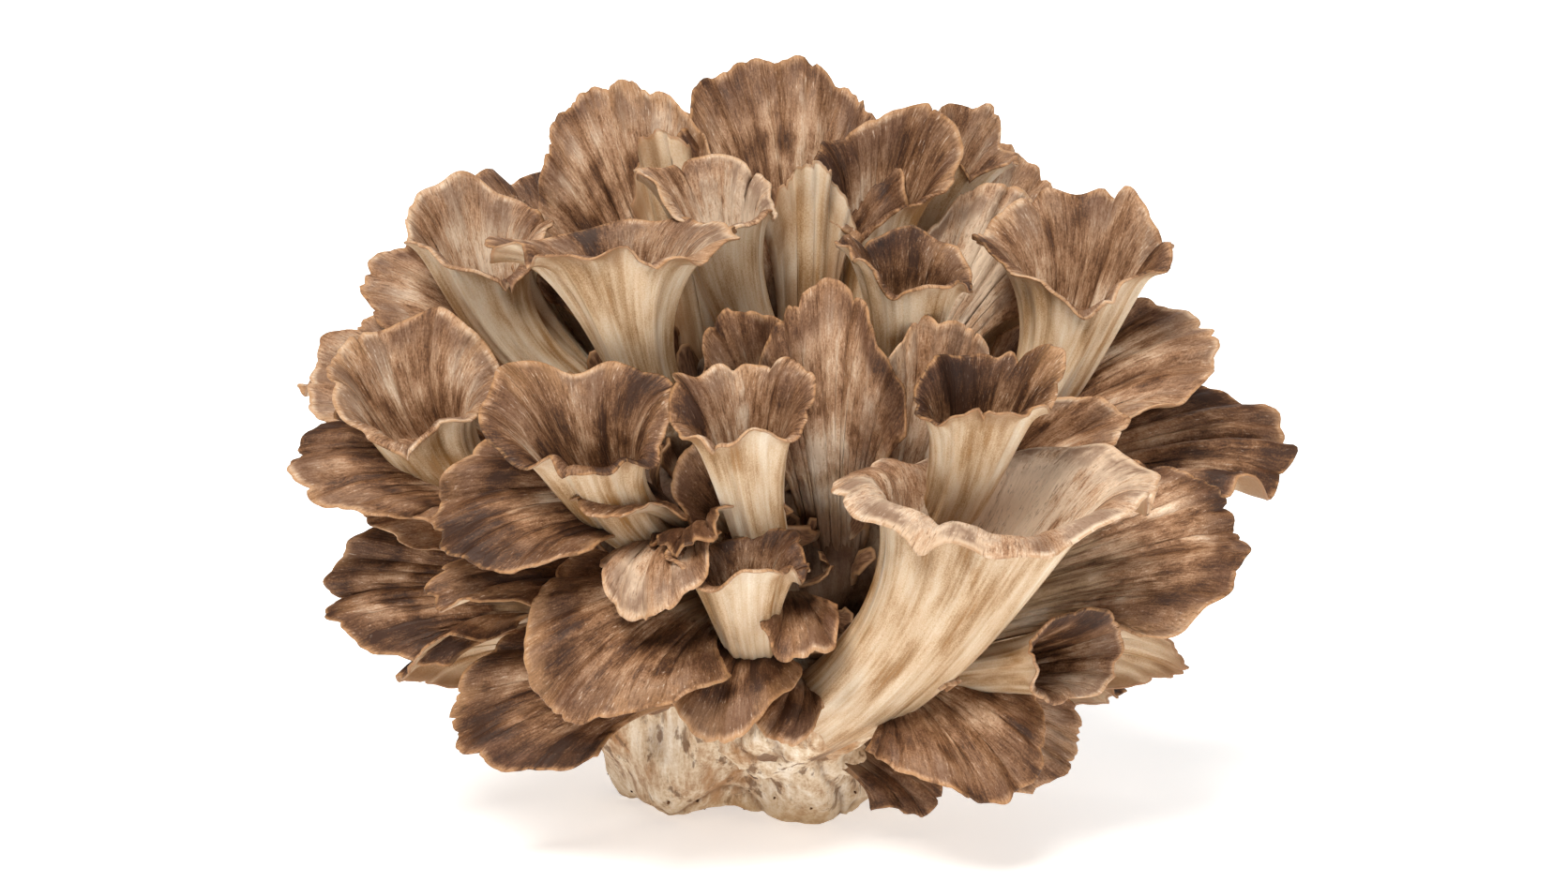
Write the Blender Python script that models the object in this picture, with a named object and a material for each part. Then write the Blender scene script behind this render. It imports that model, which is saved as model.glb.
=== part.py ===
"""Maitake (hen of the woods), whole, standing on the cut foot that it was picked by.

The mushroom is one grown body. A lumpy, branching core rises from the foot, and every
frond is an outgrowth of it: a stalk, oval in section, that flattens into a fan. The fan is
wrapped round its own length, rolled back at the rim, and waved and notched along it.
Core and fronds are joined by one Boolean union, because no joint or seam lies between them.

Lengths are in millimetres until MM turns them to metres. +Z is up, the front is -Y, and
the origin is the middle of the foot's flat face.
"""

import math
import random
from types import SimpleNamespace

import bmesh
import bpy
import numpy as np
from mathutils.bvhtree import BVHTree

MM = 0.001

# Core: the foot, the trunk and the crowded base of the branches, as half-widths at heights.
CORE_HEIGHTS = [0, 7, 18, 32, 50, 72, 94, 112, 124]
CORE_HALF_WIDTHS = [32, 39, 44, 48, 55, 64, 60, 44, 22]
CORE_DEPTH_SHARE = 0.84
CORE_TOP = 129
CORE_LEAN = (2, 3)  # how far the core's top stands off the foot's middle, in X and Y
CORE_SIDES = 22

# Fronds: shares and thicknesses that all of them have in common.
RIM_THICKNESS = 1.3
STALK_THICKNESS_SHARE = 0.62  # of the stalk's own width
BLADE_SWELLING = 1.6  # mm that a fan is thicker in its middle than at its rim
WALL_SWELLING = 2.2  # and a trumpet's wall at its root
CENTRELINE_STEPS = 48
FAN_GRIDS = {"large": (10, 3), "medium": (8, 3), "small": (6, 2)}
TRUMPET_GRIDS = {"large": (12, 4), "medium": (10, 3), "small": (8, 3)}
THROAT = 0.55  # how far up a trumpet its hollow starts
ROW_CROWDING = 0.8  # below 1 a trumpet's rows stand closer together towards its mouth

# Merging the union's slivers
KEPT_FACETS = 0.57  # share of the facets that are left
MERGE_ROUNDS = 6
HELD_RADIUS = 8  # mm round a crossing within which the facets are held


def fan(name, root, tip, face, half_width, **more):
    """A flat or curled frond. root is where its stalk starts, inside the core, and tip is the middle of
    its rim. face is where its brown side looks: degrees of turn from the front towards +X, and degrees of
    rise. half_width runs along the blade's own surface, so a curled fan spans less."""
    shape = dict(
        size="large",
        curl=40,  # degrees that each side wraps towards the brown side
        skew=0.0,  # above 0 the side at u = 1 wraps more, and the other side less
        bend=35,  # degrees that the blade turns back between stalk and rim
        late=1.6,  # 1 bends evenly, more bends near the rim
        spread=78,  # degrees that the fan opens to each side
        neck=0.45,  # share of the length that is stalk
        stalk=7.5,  # half width of the stalk
        flare=3.0,  # mm that the rim rolls outwards
        waves=2.4,  # how many half waves run across each side
        wave=1.6,  # and how many mm they stand at the rim
        lobes=6,  # lobes along the rim
        notch=0.05,  # and how deep the notches between them are, as a share of the reach
    )
    shape.update(more)
    shape.update(kind="fan", name=name, root=root, tip=tip, face=face, half_width=half_width)
    return SimpleNamespace(**shape)


def trumpet(name, root, mouth, face, across, deep, **more):
    """A frond whose sides have met, so that it is a funnel. mouth is the middle of its mouth, face is where
    the mouth looks, and across and deep are the mouth's half widths, level and fore and aft."""
    shape = dict(
        size="large",
        stalk=7.5,  # stalk, flare, wave, lobes and notch are as in a fan
        belly=3.0,  # 1 widens evenly, more stays slim and opens near the rim
        flare=3.0,
        waves=3,  # waves once round the mouth
        wave=2.5,
        lobes=9,
        notch=0.06,
        roll=0,  # degrees that the mouth is turned in its own plane
        lean=0.5,  # share of the length over which the stalk swings into line with the mouth
        tall=10.0,  # mm that the rim's high side stands above its low side
        high=90,  # where the rim stands highest: 90 is its far side, 0 its side towards +X
        fanned=0.16,  # how much wider the high side opens than the low one
        rolled=0.16,  # how much further the rim opens as it rolls outwards
        dent=0.20,  # how far one side of the mouth is pushed in
        lip=4.0,  # mm that the rim turns over at its low side
    )
    shape.update(more)
    shape.update(kind="trumpet", name=name, root=root, tip=mouth, face=face, across=across, deep=deep)
    return SimpleNamespace(**shape)


FRONT_FRONDS = [
    # The crown's top row
    fan(
        "crown_top", (10, -2, 113), (2, 14, 202), (10, 14), 33,
        curl=50, skew=0.3, bend=24, spread=82, neck=0.36, lobes=7,
    ),
    fan(
        "crown_top_fold", (12, -10, 111), (14, -9, 177), (196, 6), 10,
        curl=45, bend=-20, spread=60, size="medium", stalk=6,
    ),
    fan(
        "crown_left", (-14, -5, 112), (-42, 8, 195), (-4, 16), 25,
        curl=50, skew=0.3, bend=20, spread=75, neck=0.42,
    ),
    fan(
        "crown_left_fold", (-12, -8, 112), (-26, -2, 184), (190, 8), 8,
        curl=50, bend=-20, spread=55, size="small", stalk=5.5,
    ),
    trumpet("crown_front", (11, -15, 112), (-9, -30, 175), (-8, 86), 17, 11, stalk=7, tall=9, high=135),
    trumpet("crown_right", (20, 0, 112), (33, -6, 172), (12, 70), 16, 10, stalk=6.5, tall=19, high=70),
    trumpet(
        "crown_far_right", (30, 8, 112), (60, 14, 182), (75, 58), 11, 8,
        stalk=5.5, size="small", tall=6,
    ),
    fan("crown_behind_right", (35, 8, 114), (74, 35, 172), (10, 22), 24, curl=35, bend=25, size="medium"),
    fan("pale_behind_right", (39, 1, 112), (69, -2, 169), (0, 18), 15, curl=50, bend=18, size="medium"),
    trumpet(
        "right_shoulder", (50, -15, 88), (85, -22, 157), (14, 86), 23, 12,
        wave=3.0, lobes=10, tall=15, fanned=0.22,
    ),
    trumpet(
        "left_shoulder", (-31, -10, 106), (-73, -15, 161), (-18, 86), 18, 10,
        stalk=7, tall=13, high=100,
    ),
    fan(
        "left_shoulder_behind", (-26, 0, 113), (-50, 12, 168), (0, 18), 16,
        curl=30, bend=25, size="medium",
    ),
    trumpet(
        "upper_front_left", (-17, -25, 104), (-35, -48, 168), (20, 97), 29, 10,
        waves=2, wave=1.6, tall=3, flare=2, belly=3.4,
    ),
    trumpet(
        "upper_front_right", (32, -15, 112), (39, -55, 162), (-12, 86), 14, 8,
        roll=-20, high=150, tall=9,
    ),
    fan("far_left_upper", (-41, 0, 106), (-102, -5, 150), (-30, 50), 17, curl=70, bend=35, size="medium"),
    # The right side
    fan("right_upper", (54, -8, 90), (120, -15, 134), (20, 50), 19, curl=45, bend=50),
    fan("right_reach", (56, -8, 80), (143, -5, 103), (-10, 55), 23, curl=25, bend=45, waves=4, wave=4),
    fan(
        "right_small", (53, -14, 83), (93, -40, 117), (-20, 35), 12,
        curl=70, bend=20, size="small", stalk=5,
    ),
    trumpet(
        "great_front", (0, -28, 26), (60, -80, 117), (60, 80), 30, 13,
        stalk=13, waves=2, wave=3.0, flare=4, belly=2.4, tall=8, high=50, fanned=0.10, rolled=0.30,
        dent=0.05, lip=15,
    ),
    fan(
        "right_low_broad", (22, -28, 46), (126, -48, 90), (10, 36), 23,
        curl=30, bend=50, stalk=8, neck=0.64,
    ),
    fan("right_under_curled", (38, -22, 46), (114, -46, 56), (10, 150), 17, curl=-30, bend=40, stalk=8),
    trumpet("right_under_cup", (18, -32, 42), (82, -72, 62), (35, 20), 13, 10, stalk=7, size="medium"),
    fan(
        "right_flap_cream", (24, -32, 44), (52, -67, 56), (20, 150), 7,
        curl=-40, bend=40, size="small", stalk=5,
    ),
    fan(
        "right_flap_brown", (18, -38, 52), (39, -66, 64), (0, 40), 6,
        curl=50, bend=50, size="small", stalk=4.5,
    ),
    fan("right_under_far", (36, -10, 38), (98, -28, 42), (20, 145), 14, curl=-35, bend=40, size="medium"),
    fan(
        "low_right_front", (32, -27, 44), (68, -76, 29), (12, 34), 21,
        curl=24, bend=55, spread=92, stalk=8,
    ),
    fan("low_right_behind", (32, -25, 40), (85, -42, 28), (20, 30), 20, curl=25, bend=35, size="medium"),
    fan("foot_right", (22, -26, 24), (48, -40, 13), (20, 30), 9, curl=30, bend=30, size="small", stalk=6),
    # The middle
    fan("middle_tall", (22, -38, 74), (18, -72, 157), (-10, 18), 18, curl=35, bend=20, neck=0.45),
    fan("middle_tall_right", (31, -36, 74), (50, -62, 146), (12, 20), 17, curl=45, bend=25),
    trumpet("middle_right", (30, -34, 70), (56, -78, 136), (12, 82), 16, 10, stalk=6.5, high=60, tall=9),
    trumpet("middle_left", (8, -43, 70), (-3, -80, 131), (-12, 80), 15, 10, stalk=6.5, tall=10),
    fan("middle_behind", (6, -33, 106), (-4, -60, 147), (-5, 20), 14, curl=40, bend=20, size="medium"),
    trumpet(
        "left_centre", (-12, -40, 80), (-42, -74, 124), (-18, 80), 21, 11,
        stalk=8, tall=16, high=95, flare=4, fanned=0.22,
    ),
    fan(
        "centre_dark", (6, -40, 78), (-12, -72, 118), (-20, 30), 13,
        curl=80, bend=20, size="small", stalk=6,
    ),
    # The left side
    trumpet(
        "left_upper", (-41, -25, 84), (-88, -46, 126), (-24, 82), 20, 10,
        stalk=8, tall=19, high=100, flare=4, fanned=0.22,
    ),
    fan("left_upper_behind", (-48, -14, 92), (-116, -20, 128), (-30, 40), 22, curl=35, bend=40),
    fan("left_reach", (-48, -19, 83), (-119, -45, 107), (-25, 45), 20, curl=30, bend=60),
    fan(
        "left_small", (-41, -20, 72), (-101, -40, 94), (-25, 45), 13,
        curl=55, bend=50, size="medium", stalk=5.5,
    ),
    fan("left_middle_broad", (-21, -35, 86), (-80, -74, 96), (-20, 40), 21, curl=45, bend=65),
    fan(
        "left_middle_narrow", (-11, -40, 78), (-44, -76, 106), (-25, 60), 12,
        curl=50, bend=45, size="medium",
    ),
    fan("left_low_broad", (-41, -20, 60), (-113, -38, 70), (-20, 30), 20, curl=25, bend=60),
    fan(
        "left_low_small", (-26, -35, 66), (-82, -70, 80), (-25, 45), 9,
        curl=40, bend=45, size="small", stalk=5,
    ),
    fan("left_under", (-31, -20, 52), (-94, -50, 54), (-20, 148), 16, curl=-30, bend=40, size="medium"),
    fan(
        "great_low_left", (-10, -40, 66), (-52, -92, 57), (-18, 26), 24,
        curl=30, bend=72, late=1.3, spread=92, stalk=9,
    ),
    fan("foot_left", (-17, -24, 43), (-78, -62, 39), (-18, 26), 19, curl=25, bend=60, stalk=8),
    fan(
        "low_front_centre", (-2, -40, 58), (-12, -86, 46), (0, 30), 15,
        curl=35, bend=72, late=1.3, spread=98, size="medium", stalk=6,
    ),
    fan(
        "low_front_small", (7, -38, 47), (6, -78, 43), (20, 25), 8,
        curl=35, bend=65, size="small", stalk=5,
    ),
    fan(
        "front_centre_small", (7, -46, 71), (12, -88, 69), (10, 35), 10,
        curl=45, bend=35, size="small", stalk=5,
    ),
    fan("front_left_lobe", (-11, -42, 82), (-27, -92, 80), (-25, 25), 15, curl=35, bend=72, size="medium"),
    fan(
        "front_cup_ruffle", (-5, -44, 80), (-16, -84, 98), (-20, 30), 11,
        curl=60, bend=45, size="small", stalk=5, waves=4,
    ),
    trumpet(
        "front_centre_cup", (3, -34, 50), (-3, -80, 94), (-4, 90), 16, 8,
        stalk=6, wave=2.4, tall=4, size="medium",
    ),
]

# The back and the sides, as rows that are filled by rule: name, height of the tips, reach from the middle,
# first and last turn, how many, half width, rise of the brown side, and every how-manieth is a funnel.
REAR_ROWS = [
    ("rear_crown", 184, 36, 112, 250, 4, 23, 22, 9),
    ("rear_upper", 160, 68, 86, 274, 7, 24, 30, 3),
    ("rear_middle", 128, 94, 94, 266, 8, 25, 36, 4),
    ("rear_low", 92, 98, 90, 270, 7, 27, 32, 5),
    ("rear_foot", 54, 86, 92, 268, 6, 24, 24, 9),
    ("rear_small", 78, 78, 100, 262, 6, 14, 30, 9),
]
REAR_WIDENING = 1.12  # how much further the rows reach sideways than their reach says
REAR_DEPTH = 0.93  # and how much less to the back
ROOT_DEPTH_SHARE = 0.55  # how far out in the core a rear stalk starts


def direction(turn, rise):
    """A unit vector turned from the front (-Y) towards +X, and raised above the horizon, in degrees."""
    turn, rise = math.radians(turn), math.radians(rise)
    return np.array([math.sin(turn) * math.cos(rise), -math.cos(turn) * math.cos(rise), math.sin(rise)])


def chance(name):
    """A random source that depends on the frond's name alone."""
    return random.Random(f"maitake {name}")


def rear_fronds():
    """Fronds for the back and the sides, each nudged off its even place by a chance of its own."""
    made = []
    for row, height, reach, first, last, count, half_width, rise, funnels in REAR_ROWS:
        for k in range(count):
            name = f"{row}_{k + 1}"
            rng = chance(name + " place")
            turn = first + (last - first) * (k + 0.5) / count + rng.uniform(-8, 8)
            out = reach * rng.uniform(0.86, 1.06)
            top = height + rng.uniform(-12, 12)
            outwards = direction(turn, 0)
            tip = (out * REAR_WIDENING * outwards[0], out * REAR_DEPTH * outwards[1], top)
            base = 22 + 0.49 * height
            held = ROOT_DEPTH_SHARE * float(np.interp(base, CORE_HEIGHTS, CORE_HALF_WIDTHS))
            root = (held * outwards[0], held * CORE_DEPTH_SHARE * outwards[1], base)
            wide = half_width * rng.uniform(0.8, 1.15)
            if k % funnels == funnels - 1:
                face = (turn, 72)
                made.append(trumpet(name, root, tip, face, wide * 0.85, wide * 0.6, size="medium"))
            else:
                face = (turn + rng.uniform(-28, 28), rise + rng.uniform(-12, 12))
                bend, curl = rng.uniform(25, 55), rng.uniform(22, 60)
                made.append(fan(name, root, tip, face, wide, size="medium", bend=bend, curl=curl))
    return made


def centreline(f):
    """Arc length, place along and off the chord, and heading of the frond's middle line."""
    chord = np.linalg.norm(np.subtract(f.tip, f.root))
    share = np.linspace(0, 1.15, CENTRELINE_STEPS + 1)
    heading = -math.radians(f.bend) * share**f.late
    step = share[1]
    along = np.concatenate([[0], np.cumsum((np.cos(heading[1:]) + np.cos(heading[:-1])) / 2 * step)])
    off = np.concatenate([[0], np.cumsum((np.sin(heading[1:]) + np.sin(heading[:-1])) / 2 * step)])
    end = np.array([np.interp(1, share, along), np.interp(1, share, off)])
    scale = chord / np.hypot(*end)
    turn = math.atan2(end[1], end[0])
    cos, sin = math.cos(turn), math.sin(turn)
    forward, aside = (along * cos + off * sin) * scale, (off * cos - along * sin) * scale
    return share * scale, forward, aside, heading - turn, scale


def wrapped(f, x):
    """Where points x across a fan lie once it is wrapped: sideways, and towards the brown side."""
    flat = np.linspace(-1.6, 1.6, 2 * CENTRELINE_STEPS + 1) * f.half_width
    share = flat / f.half_width
    angle = math.radians(f.curl) * share * (1 + f.skew * share)
    step = flat[1] - flat[0]
    sideways = np.concatenate([[0], np.cumsum((np.cos(angle[1:]) + np.cos(angle[:-1])) / 2 * step)])
    inwards = np.concatenate([[0], np.cumsum((np.sin(angle[1:]) + np.sin(angle[:-1])) / 2 * step)])
    middle = CENTRELINE_STEPS
    return np.interp(x, flat, sideways - sideways[middle]), np.interp(x, flat, inwards - inwards[middle])


def flat_fan(f, u, v, length):
    """Where the point at u across and v along lies on the blade before it is bent."""
    rng = chance(f.name)
    warp, phase = rng.uniform(-0.07, 0.07), rng.uniform(0, math.pi)
    angle = math.radians(f.spread) * u
    scallop = np.abs(np.cos(math.pi * f.lobes / 2 * (u + warp * np.sin(math.pi * u)) + phase)) ** 0.7
    reach = 1 + f.notch * (scallop - 0.75)
    pivot = f.neck * length
    across = f.half_width / math.sin(math.radians(min(f.spread, 90)))
    rim_x = across * np.sin(angle) * reach
    rim_y = pivot + (length - pivot) * np.cos(angle) * reach
    start_x, middle_x, middle_y = f.stalk * u, f.stalk * u * 1.15, pivot * 0.9
    x = (1 - v) ** 2 * start_x + 2 * v * (1 - v) * middle_x + v**2 * rim_x
    y = 2 * v * (1 - v) * middle_y + v**2 * rim_y
    return x, y


def normals_of(points):
    """Unit normals of a grid of points, towards the brown side."""
    across, along = np.gradient(points, axis=0), np.gradient(points, axis=1)
    normal = np.cross(across, along)
    return normal / np.linalg.norm(normal, axis=2, keepdims=True)


def blade(f, across, along):
    """The brown and the cream face of a frond, as two grids of points in mm."""
    u = np.linspace(-1, 1, across + 1)[:, None]
    v = np.linspace(0, 1, along + 1)[None, :]
    arc, forward, off, heading, length = centreline(f)
    x, y = flat_fan(f, u, v, length)
    root, tip = np.array(f.root, float), np.array(f.tip, float)
    chord = (tip - root) / np.linalg.norm(tip - root)
    side = np.cross(chord, direction(*f.face))
    side /= np.linalg.norm(side)
    up = np.cross(side, chord)
    turn = np.interp(y, arc, heading)[..., None]
    sideways, inwards = wrapped(f, x)
    centre = root + np.interp(y, arc, forward)[..., None] * chord + np.interp(y, arc, off)[..., None] * up
    inward = np.cos(turn) * up - np.sin(turn) * chord
    points = centre + sideways[..., None] * side + inwards[..., None] * inward
    rng = chance(f.name + " waves")
    phases = [rng.uniform(0, 2 * math.pi) for _ in range(2)]
    wave = np.sin(math.pi * f.waves * u + phases[0])
    wave = wave + 0.45 * np.sin(math.pi * (f.waves * 2.1) * u + phases[1])
    roll = -f.flare * v**4 + f.wave * wave * v**2.6
    points = points + normals_of(points) * roll[..., None]
    middle = STALK_THICKNESS_SHARE * 2 * f.stalk * (1 - v) ** 1.5
    swollen = (RIM_THICKNESS + BLADE_SWELLING) * (1 - (1 - v) ** 1.5) * (1 - v**3)
    middle = middle + swollen + RIM_THICKNESS * v**3
    thickness = RIM_THICKNESS + np.maximum(middle - RIM_THICKNESS, 0) * np.sqrt(np.maximum(1 - u**2, 0))
    half = normals_of(points) * thickness[..., None] / 2
    return points + half, points - half


def funnel(f, around, along):
    """The outer and the inner skin of a trumpet, as two grids of points in mm that go all the way round."""
    theta = (2 * math.pi * np.arange(around) / around)[:, None]
    v = np.linspace(0, 1, along + 1)[None, :] ** ROW_CROWDING
    root, mouth, look = np.array(f.root, float), np.array(f.tip, float), direction(*f.face)
    length = np.linalg.norm(mouth - root)
    swing = mouth - look * length * f.lean

    def place(t):
        return (1 - t) ** 2 * root + 2 * t * (1 - t) * swing + t**2 * mouth

    def heading(t):
        way = 2 * (1 - t) * (swing - root) + 2 * t * (mouth - swing)
        way = way / np.linalg.norm(way, axis=-1, keepdims=True)
        way = way * (1 - t**2) + look * t**2
        return way / np.linalg.norm(way, axis=-1, keepdims=True)

    t = v[..., None]
    axis = heading(t)
    level = np.array([1.0, 0, 0]) - axis * axis[..., :1]
    level /= np.linalg.norm(level, axis=-1, keepdims=True)
    back = np.cross(axis, level)
    turned = theta + math.radians(f.roll) * v
    rng = chance(f.name)
    phases = [rng.uniform(0, 2 * math.pi) for _ in range(4)]
    scallop = np.abs(np.cos(f.lobes / 2 * (theta + 0.2 * np.sin(theta + phases[0])) + phases[1])) ** 0.7
    grown = v**f.belly
    height = np.cos(theta - math.radians(f.high))
    reach = 1 + f.notch * (scallop - 0.75) * v**3 + 0.05 * np.sin(2 * theta + phases[2]) * v**2
    dented = np.exp(-((np.cos(theta - phases[1]) - 1) / 0.35) ** 2)
    reach = reach + f.fanned * height * v**2 + f.rolled * v**7 - f.dent * dented * v**3
    wide = (f.stalk + (f.across - f.stalk) * grown) * reach
    thick = STALK_THICKNESS_SHARE * f.stalk * 1.25
    deep = (thick + (f.deep - thick) * grown) * reach
    wave = np.sin(f.waves * theta + phases[3]) + 0.4 * np.sin(2 * f.waves * theta + phases[0])
    lift = f.wave * wave * v**2.6 - f.flare * v**6 + f.tall * (0.4 + 0.6 * height) * v**2
    lift = lift - f.lip * (0.7 - 0.3 * height) * np.clip((v - 0.86) / 0.14, 0, 1) ** 2
    outer = (
        place(t)
        + (wide * np.cos(turned))[..., None] * level
        + (deep * np.sin(turned))[..., None] * back
        + lift[..., None] * axis
    )
    round_again = np.concatenate([outer[-1:], outer, outer[:1]])
    outwards = normals_of(round_again)[1:-1]
    wall = RIM_THICKNESS + WALL_SWELLING * (1 - v**2.5)
    inner = outer - outwards * wall[..., None]
    return outer, inner, place(np.array(THROAT - 0.12))


def closed_funnel(f, around, along):
    """Points and triangles of one closed trumpet: outer skin, rim, and the hollow down to its throat."""
    outer, inner, throat = funnel(f, around, along)
    first = next(j for j in range(along + 1) if (j / along) ** ROW_CROWDING >= THROAT)
    long = along + 1
    poles = [throat, np.array(f.root, float)]
    points = np.concatenate([outer.reshape(-1, 3), inner.reshape(-1, 3), poles])
    n = around * long
    pole, foot = 2 * n, 2 * n + 1
    triangles, brown = [], []
    for i in range(around):
        k = (i + 1) % around
        for j in range(along):
            a, b, c, d = i * long + j, k * long + j, k * long + j + 1, i * long + j + 1
            triangles += [(a, b, c), (a, c, d)]
            brown += [False, False]
            if j >= first:
                triangles += [(a + n, c + n, b + n), (a + n, d + n, c + n)]
                brown += [True, True]
        rim, following = i * long + along, k * long + along
        triangles += [(rim, following, following + n), (rim, following + n, rim + n)]
        brown += [False, False]
        triangles += [(i * long + first + n, k * long + first + n, pole), (k * long, i * long, foot)]
        brown += [True, False]
    used = sorted({p for triangle in triangles for p in triangle})
    place = {p: q for q, p in enumerate(used)}
    return points[used], [tuple(place[p] for p in triangle) for triangle in triangles], brown


def closed_blade(f, across, along):
    """Points and triangles of one closed frond. Both faces are split alike, so that they never cross."""
    top, under = blade(f, across, along)
    points = np.concatenate([top.reshape(-1, 3), under.reshape(-1, 3)])
    wide, long = across + 1, along + 1
    n = wide * long

    def at(i, j):
        return i * long + j

    triangles, brown = [], []
    for i in range(across):
        for j in range(along):
            a, b, c, d = at(i, j), at(i + 1, j), at(i + 1, j + 1), at(i, j + 1)
            triangles += [(a, b, c), (a, c, d)]
            brown += [j >= 1, j >= 1]
            triangles += [(a + n, c + n, b + n), (a + n, d + n, c + n)]
            brown += [False, False]
    edge = [at(i, 0) for i in range(wide)] + [at(across, j) for j in range(1, long)]
    edge += [at(i, along) for i in range(across - 1, -1, -1)] + [at(0, j) for j in range(along - 1, 0, -1)]
    for a, b in zip(edge, edge[1:] + edge[:1]):
        triangles += [(a, a + n, b + n), (a, b + n, b)]
        brown += [False, False]
    return points, triangles, brown


def core_points(sides, heights):
    """Rings of points up the core, in mm, with lobes where the branches start and two toes at the foot."""
    rings = []
    for z in heights:
        share = z / CORE_TOP
        half = np.interp(z, CORE_HEIGHTS, CORE_HALF_WIDTHS)
        toes = 0.16 * max(0.0, 1 - z / 30)
        ring = []
        for k in range(sides):
            a = 2 * math.pi * k / sides
            lump = 0.07 * math.sin(5 * a + 9 * share) + 0.05 * math.sin(8 * a - 14 * share + 1)
            r = half * (1 + lump + toes * (math.cos(2 * a) - 0.3))
            x = r * math.cos(a) + CORE_LEAN[0] * share
            y = r * CORE_DEPTH_SHARE * math.sin(a) + CORE_LEAN[1] * share
            ring.append((x, y, z))
        rings.append(ring)
    return rings


def material(name, colour, roughness):
    made = bpy.data.materials.new(name)
    made.use_nodes = True
    shader = made.node_tree.nodes["Principled BSDF"]
    shader.inputs["Base Color"].default_value = (*colour, 1)
    shader.inputs["Roughness"].default_value = roughness
    shader.inputs["Metallic"].default_value = 0
    made.diffuse_color = (*colour, 1)
    return made


def mesh_object(name, points, triangles, brown, materials, collection):
    mesh = bpy.data.meshes.new(name)
    mesh.from_pydata([tuple(p * MM) for p in np.asarray(points, float)], [], triangles)
    for finish in materials:
        mesh.materials.append(finish)
    mesh.polygons.foreach_set("material_index", [int(b) for b in brown])
    obj = bpy.data.objects.new(name, mesh)
    collection.objects.link(obj)
    return obj


def core(materials, collection):
    rings = core_points(CORE_SIDES, CORE_HEIGHTS)
    points = [p for ring in rings for p in ring]
    triangles = []
    for low in range(len(rings) - 1):
        for k in range(CORE_SIDES):
            a = low * CORE_SIDES + k
            b = low * CORE_SIDES + (k + 1) % CORE_SIDES
            triangles += [(a, b, b + CORE_SIDES), (a, b + CORE_SIDES, a + CORE_SIDES)]
    foot, top = len(points), len(points) + 1
    points += [(0, 0, 0), (*CORE_LEAN, CORE_TOP)]
    last = (len(rings) - 1) * CORE_SIDES
    for k in range(CORE_SIDES):
        following = (k + 1) % CORE_SIDES
        triangles += [(foot, following, k), (last + k, last + following, top)]
    return mesh_object("maitake", points, triangles, [False] * len(triangles), materials, collection)


def outer_skin_only(obj):
    """Keeps the one skin that is widest, which drops loose scraps and fills sealed hollows."""
    shape = bmesh.new()
    shape.from_mesh(obj.data)
    unseen = set(shape.faces)
    skins = []
    while unseen:
        todo, skin = [unseen.pop()], []
        while todo:
            face = todo.pop()
            skin.append(face)
            for edge in face.edges:
                for other in edge.link_faces:
                    if other in unseen:
                        unseen.discard(other)
                        todo.append(other)
        skins.append(skin)
    skins.sort(key=len, reverse=True)
    for skin in skins[1:]:
        bmesh.ops.delete(shape, geom=skin, context="FACES")
    bmesh.ops.delete(shape, geom=[v for v in shape.verts if not v.link_faces], context="VERTS")
    bmesh.ops.triangulate(shape, faces=shape.faces[:])
    shape.to_mesh(obj.data)
    shape.free()


def join(obj, repeats):
    """Fuses the collection's objects into obj by one Boolean union, and then removes them."""
    union = obj.modifiers.new("grown_together", "BOOLEAN")
    union.operation = "UNION"
    union.operand_type = "COLLECTION"
    union.collection = repeats
    union.solver = "EXACT"
    graph = bpy.context.evaluated_depsgraph_get()
    joined = bpy.data.meshes.new_from_object(obj.evaluated_get(graph))
    obj.modifiers.clear()
    obj.data = joined
    for item in list(repeats.objects):
        bpy.data.objects.remove(item)
    bpy.data.collections.remove(repeats)


def collapsed(obj, share, held):
    """A copy of obj's mesh with that share of its facets. The held points keep their facets."""
    free = obj.vertex_groups.new(name="free")
    free.add([v.index for v in obj.data.vertices if v.index not in held], 1, "REPLACE")
    collapse = obj.modifiers.new("merge_slivers", "DECIMATE")
    collapse.decimate_type = "COLLAPSE"
    collapse.ratio = share
    collapse.use_collapse_triangulate = True
    collapse.vertex_group = free.name
    graph = bpy.context.evaluated_depsgraph_get()
    mesh = bpy.data.meshes.new_from_object(obj.evaluated_get(graph))
    obj.modifiers.clear()
    obj.vertex_groups.clear()
    return mesh


def crossing_places(mesh):
    """Where facets that share no corner pass through each other."""
    corners = [tuple(face.vertices) for face in mesh.polygons]
    tree = BVHTree.FromPolygons([v.co for v in mesh.vertices], corners)
    pairs = [(a, b) for a, b in tree.overlap(tree) if a < b and not set(corners[a]) & set(corners[b])]
    return [mesh.polygons[face].center.copy() for pair in pairs for face in pair]


def merge_slivers(obj):
    """The union leaves slivers where fronds meet, and collapsing short edges merges them. Where that
    would push one face of a thin blade through the other, the facets are held and it is done again."""
    held = set()
    for _ in range(MERGE_ROUNDS):
        merged = collapsed(obj, KEPT_FACETS, held)
        places = crossing_places(merged)
        if not places:
            break
        for point in obj.data.vertices:
            if min((point.co - place).length for place in places) < HELD_RADIUS * MM:
                held.add(point.index)
    obj.data = merged


def main():
    for old in list(bpy.data.objects):
        bpy.data.objects.remove(old)
    scene = bpy.context.scene
    flesh = material("cream_flesh", (0.62, 0.47, 0.30), 0.7)
    skin = material("brown_cap_skin", (0.20, 0.115, 0.065), 0.75)
    repeats = bpy.data.collections.new("fronds")
    scene.collection.children.link(repeats)
    body = core([flesh, skin], scene.collection)
    for f in FRONT_FRONDS + rear_fronds():
        if f.kind == "fan":
            points, triangles, brown = closed_blade(f, *FAN_GRIDS[f.size])
        else:
            points, triangles, brown = closed_funnel(f, *TRUMPET_GRIDS[f.size])
        mesh_object(f.name, points, triangles, brown, [flesh, skin], repeats)
    join(body, repeats)
    outer_skin_only(body)
    merge_slivers(body)


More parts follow.
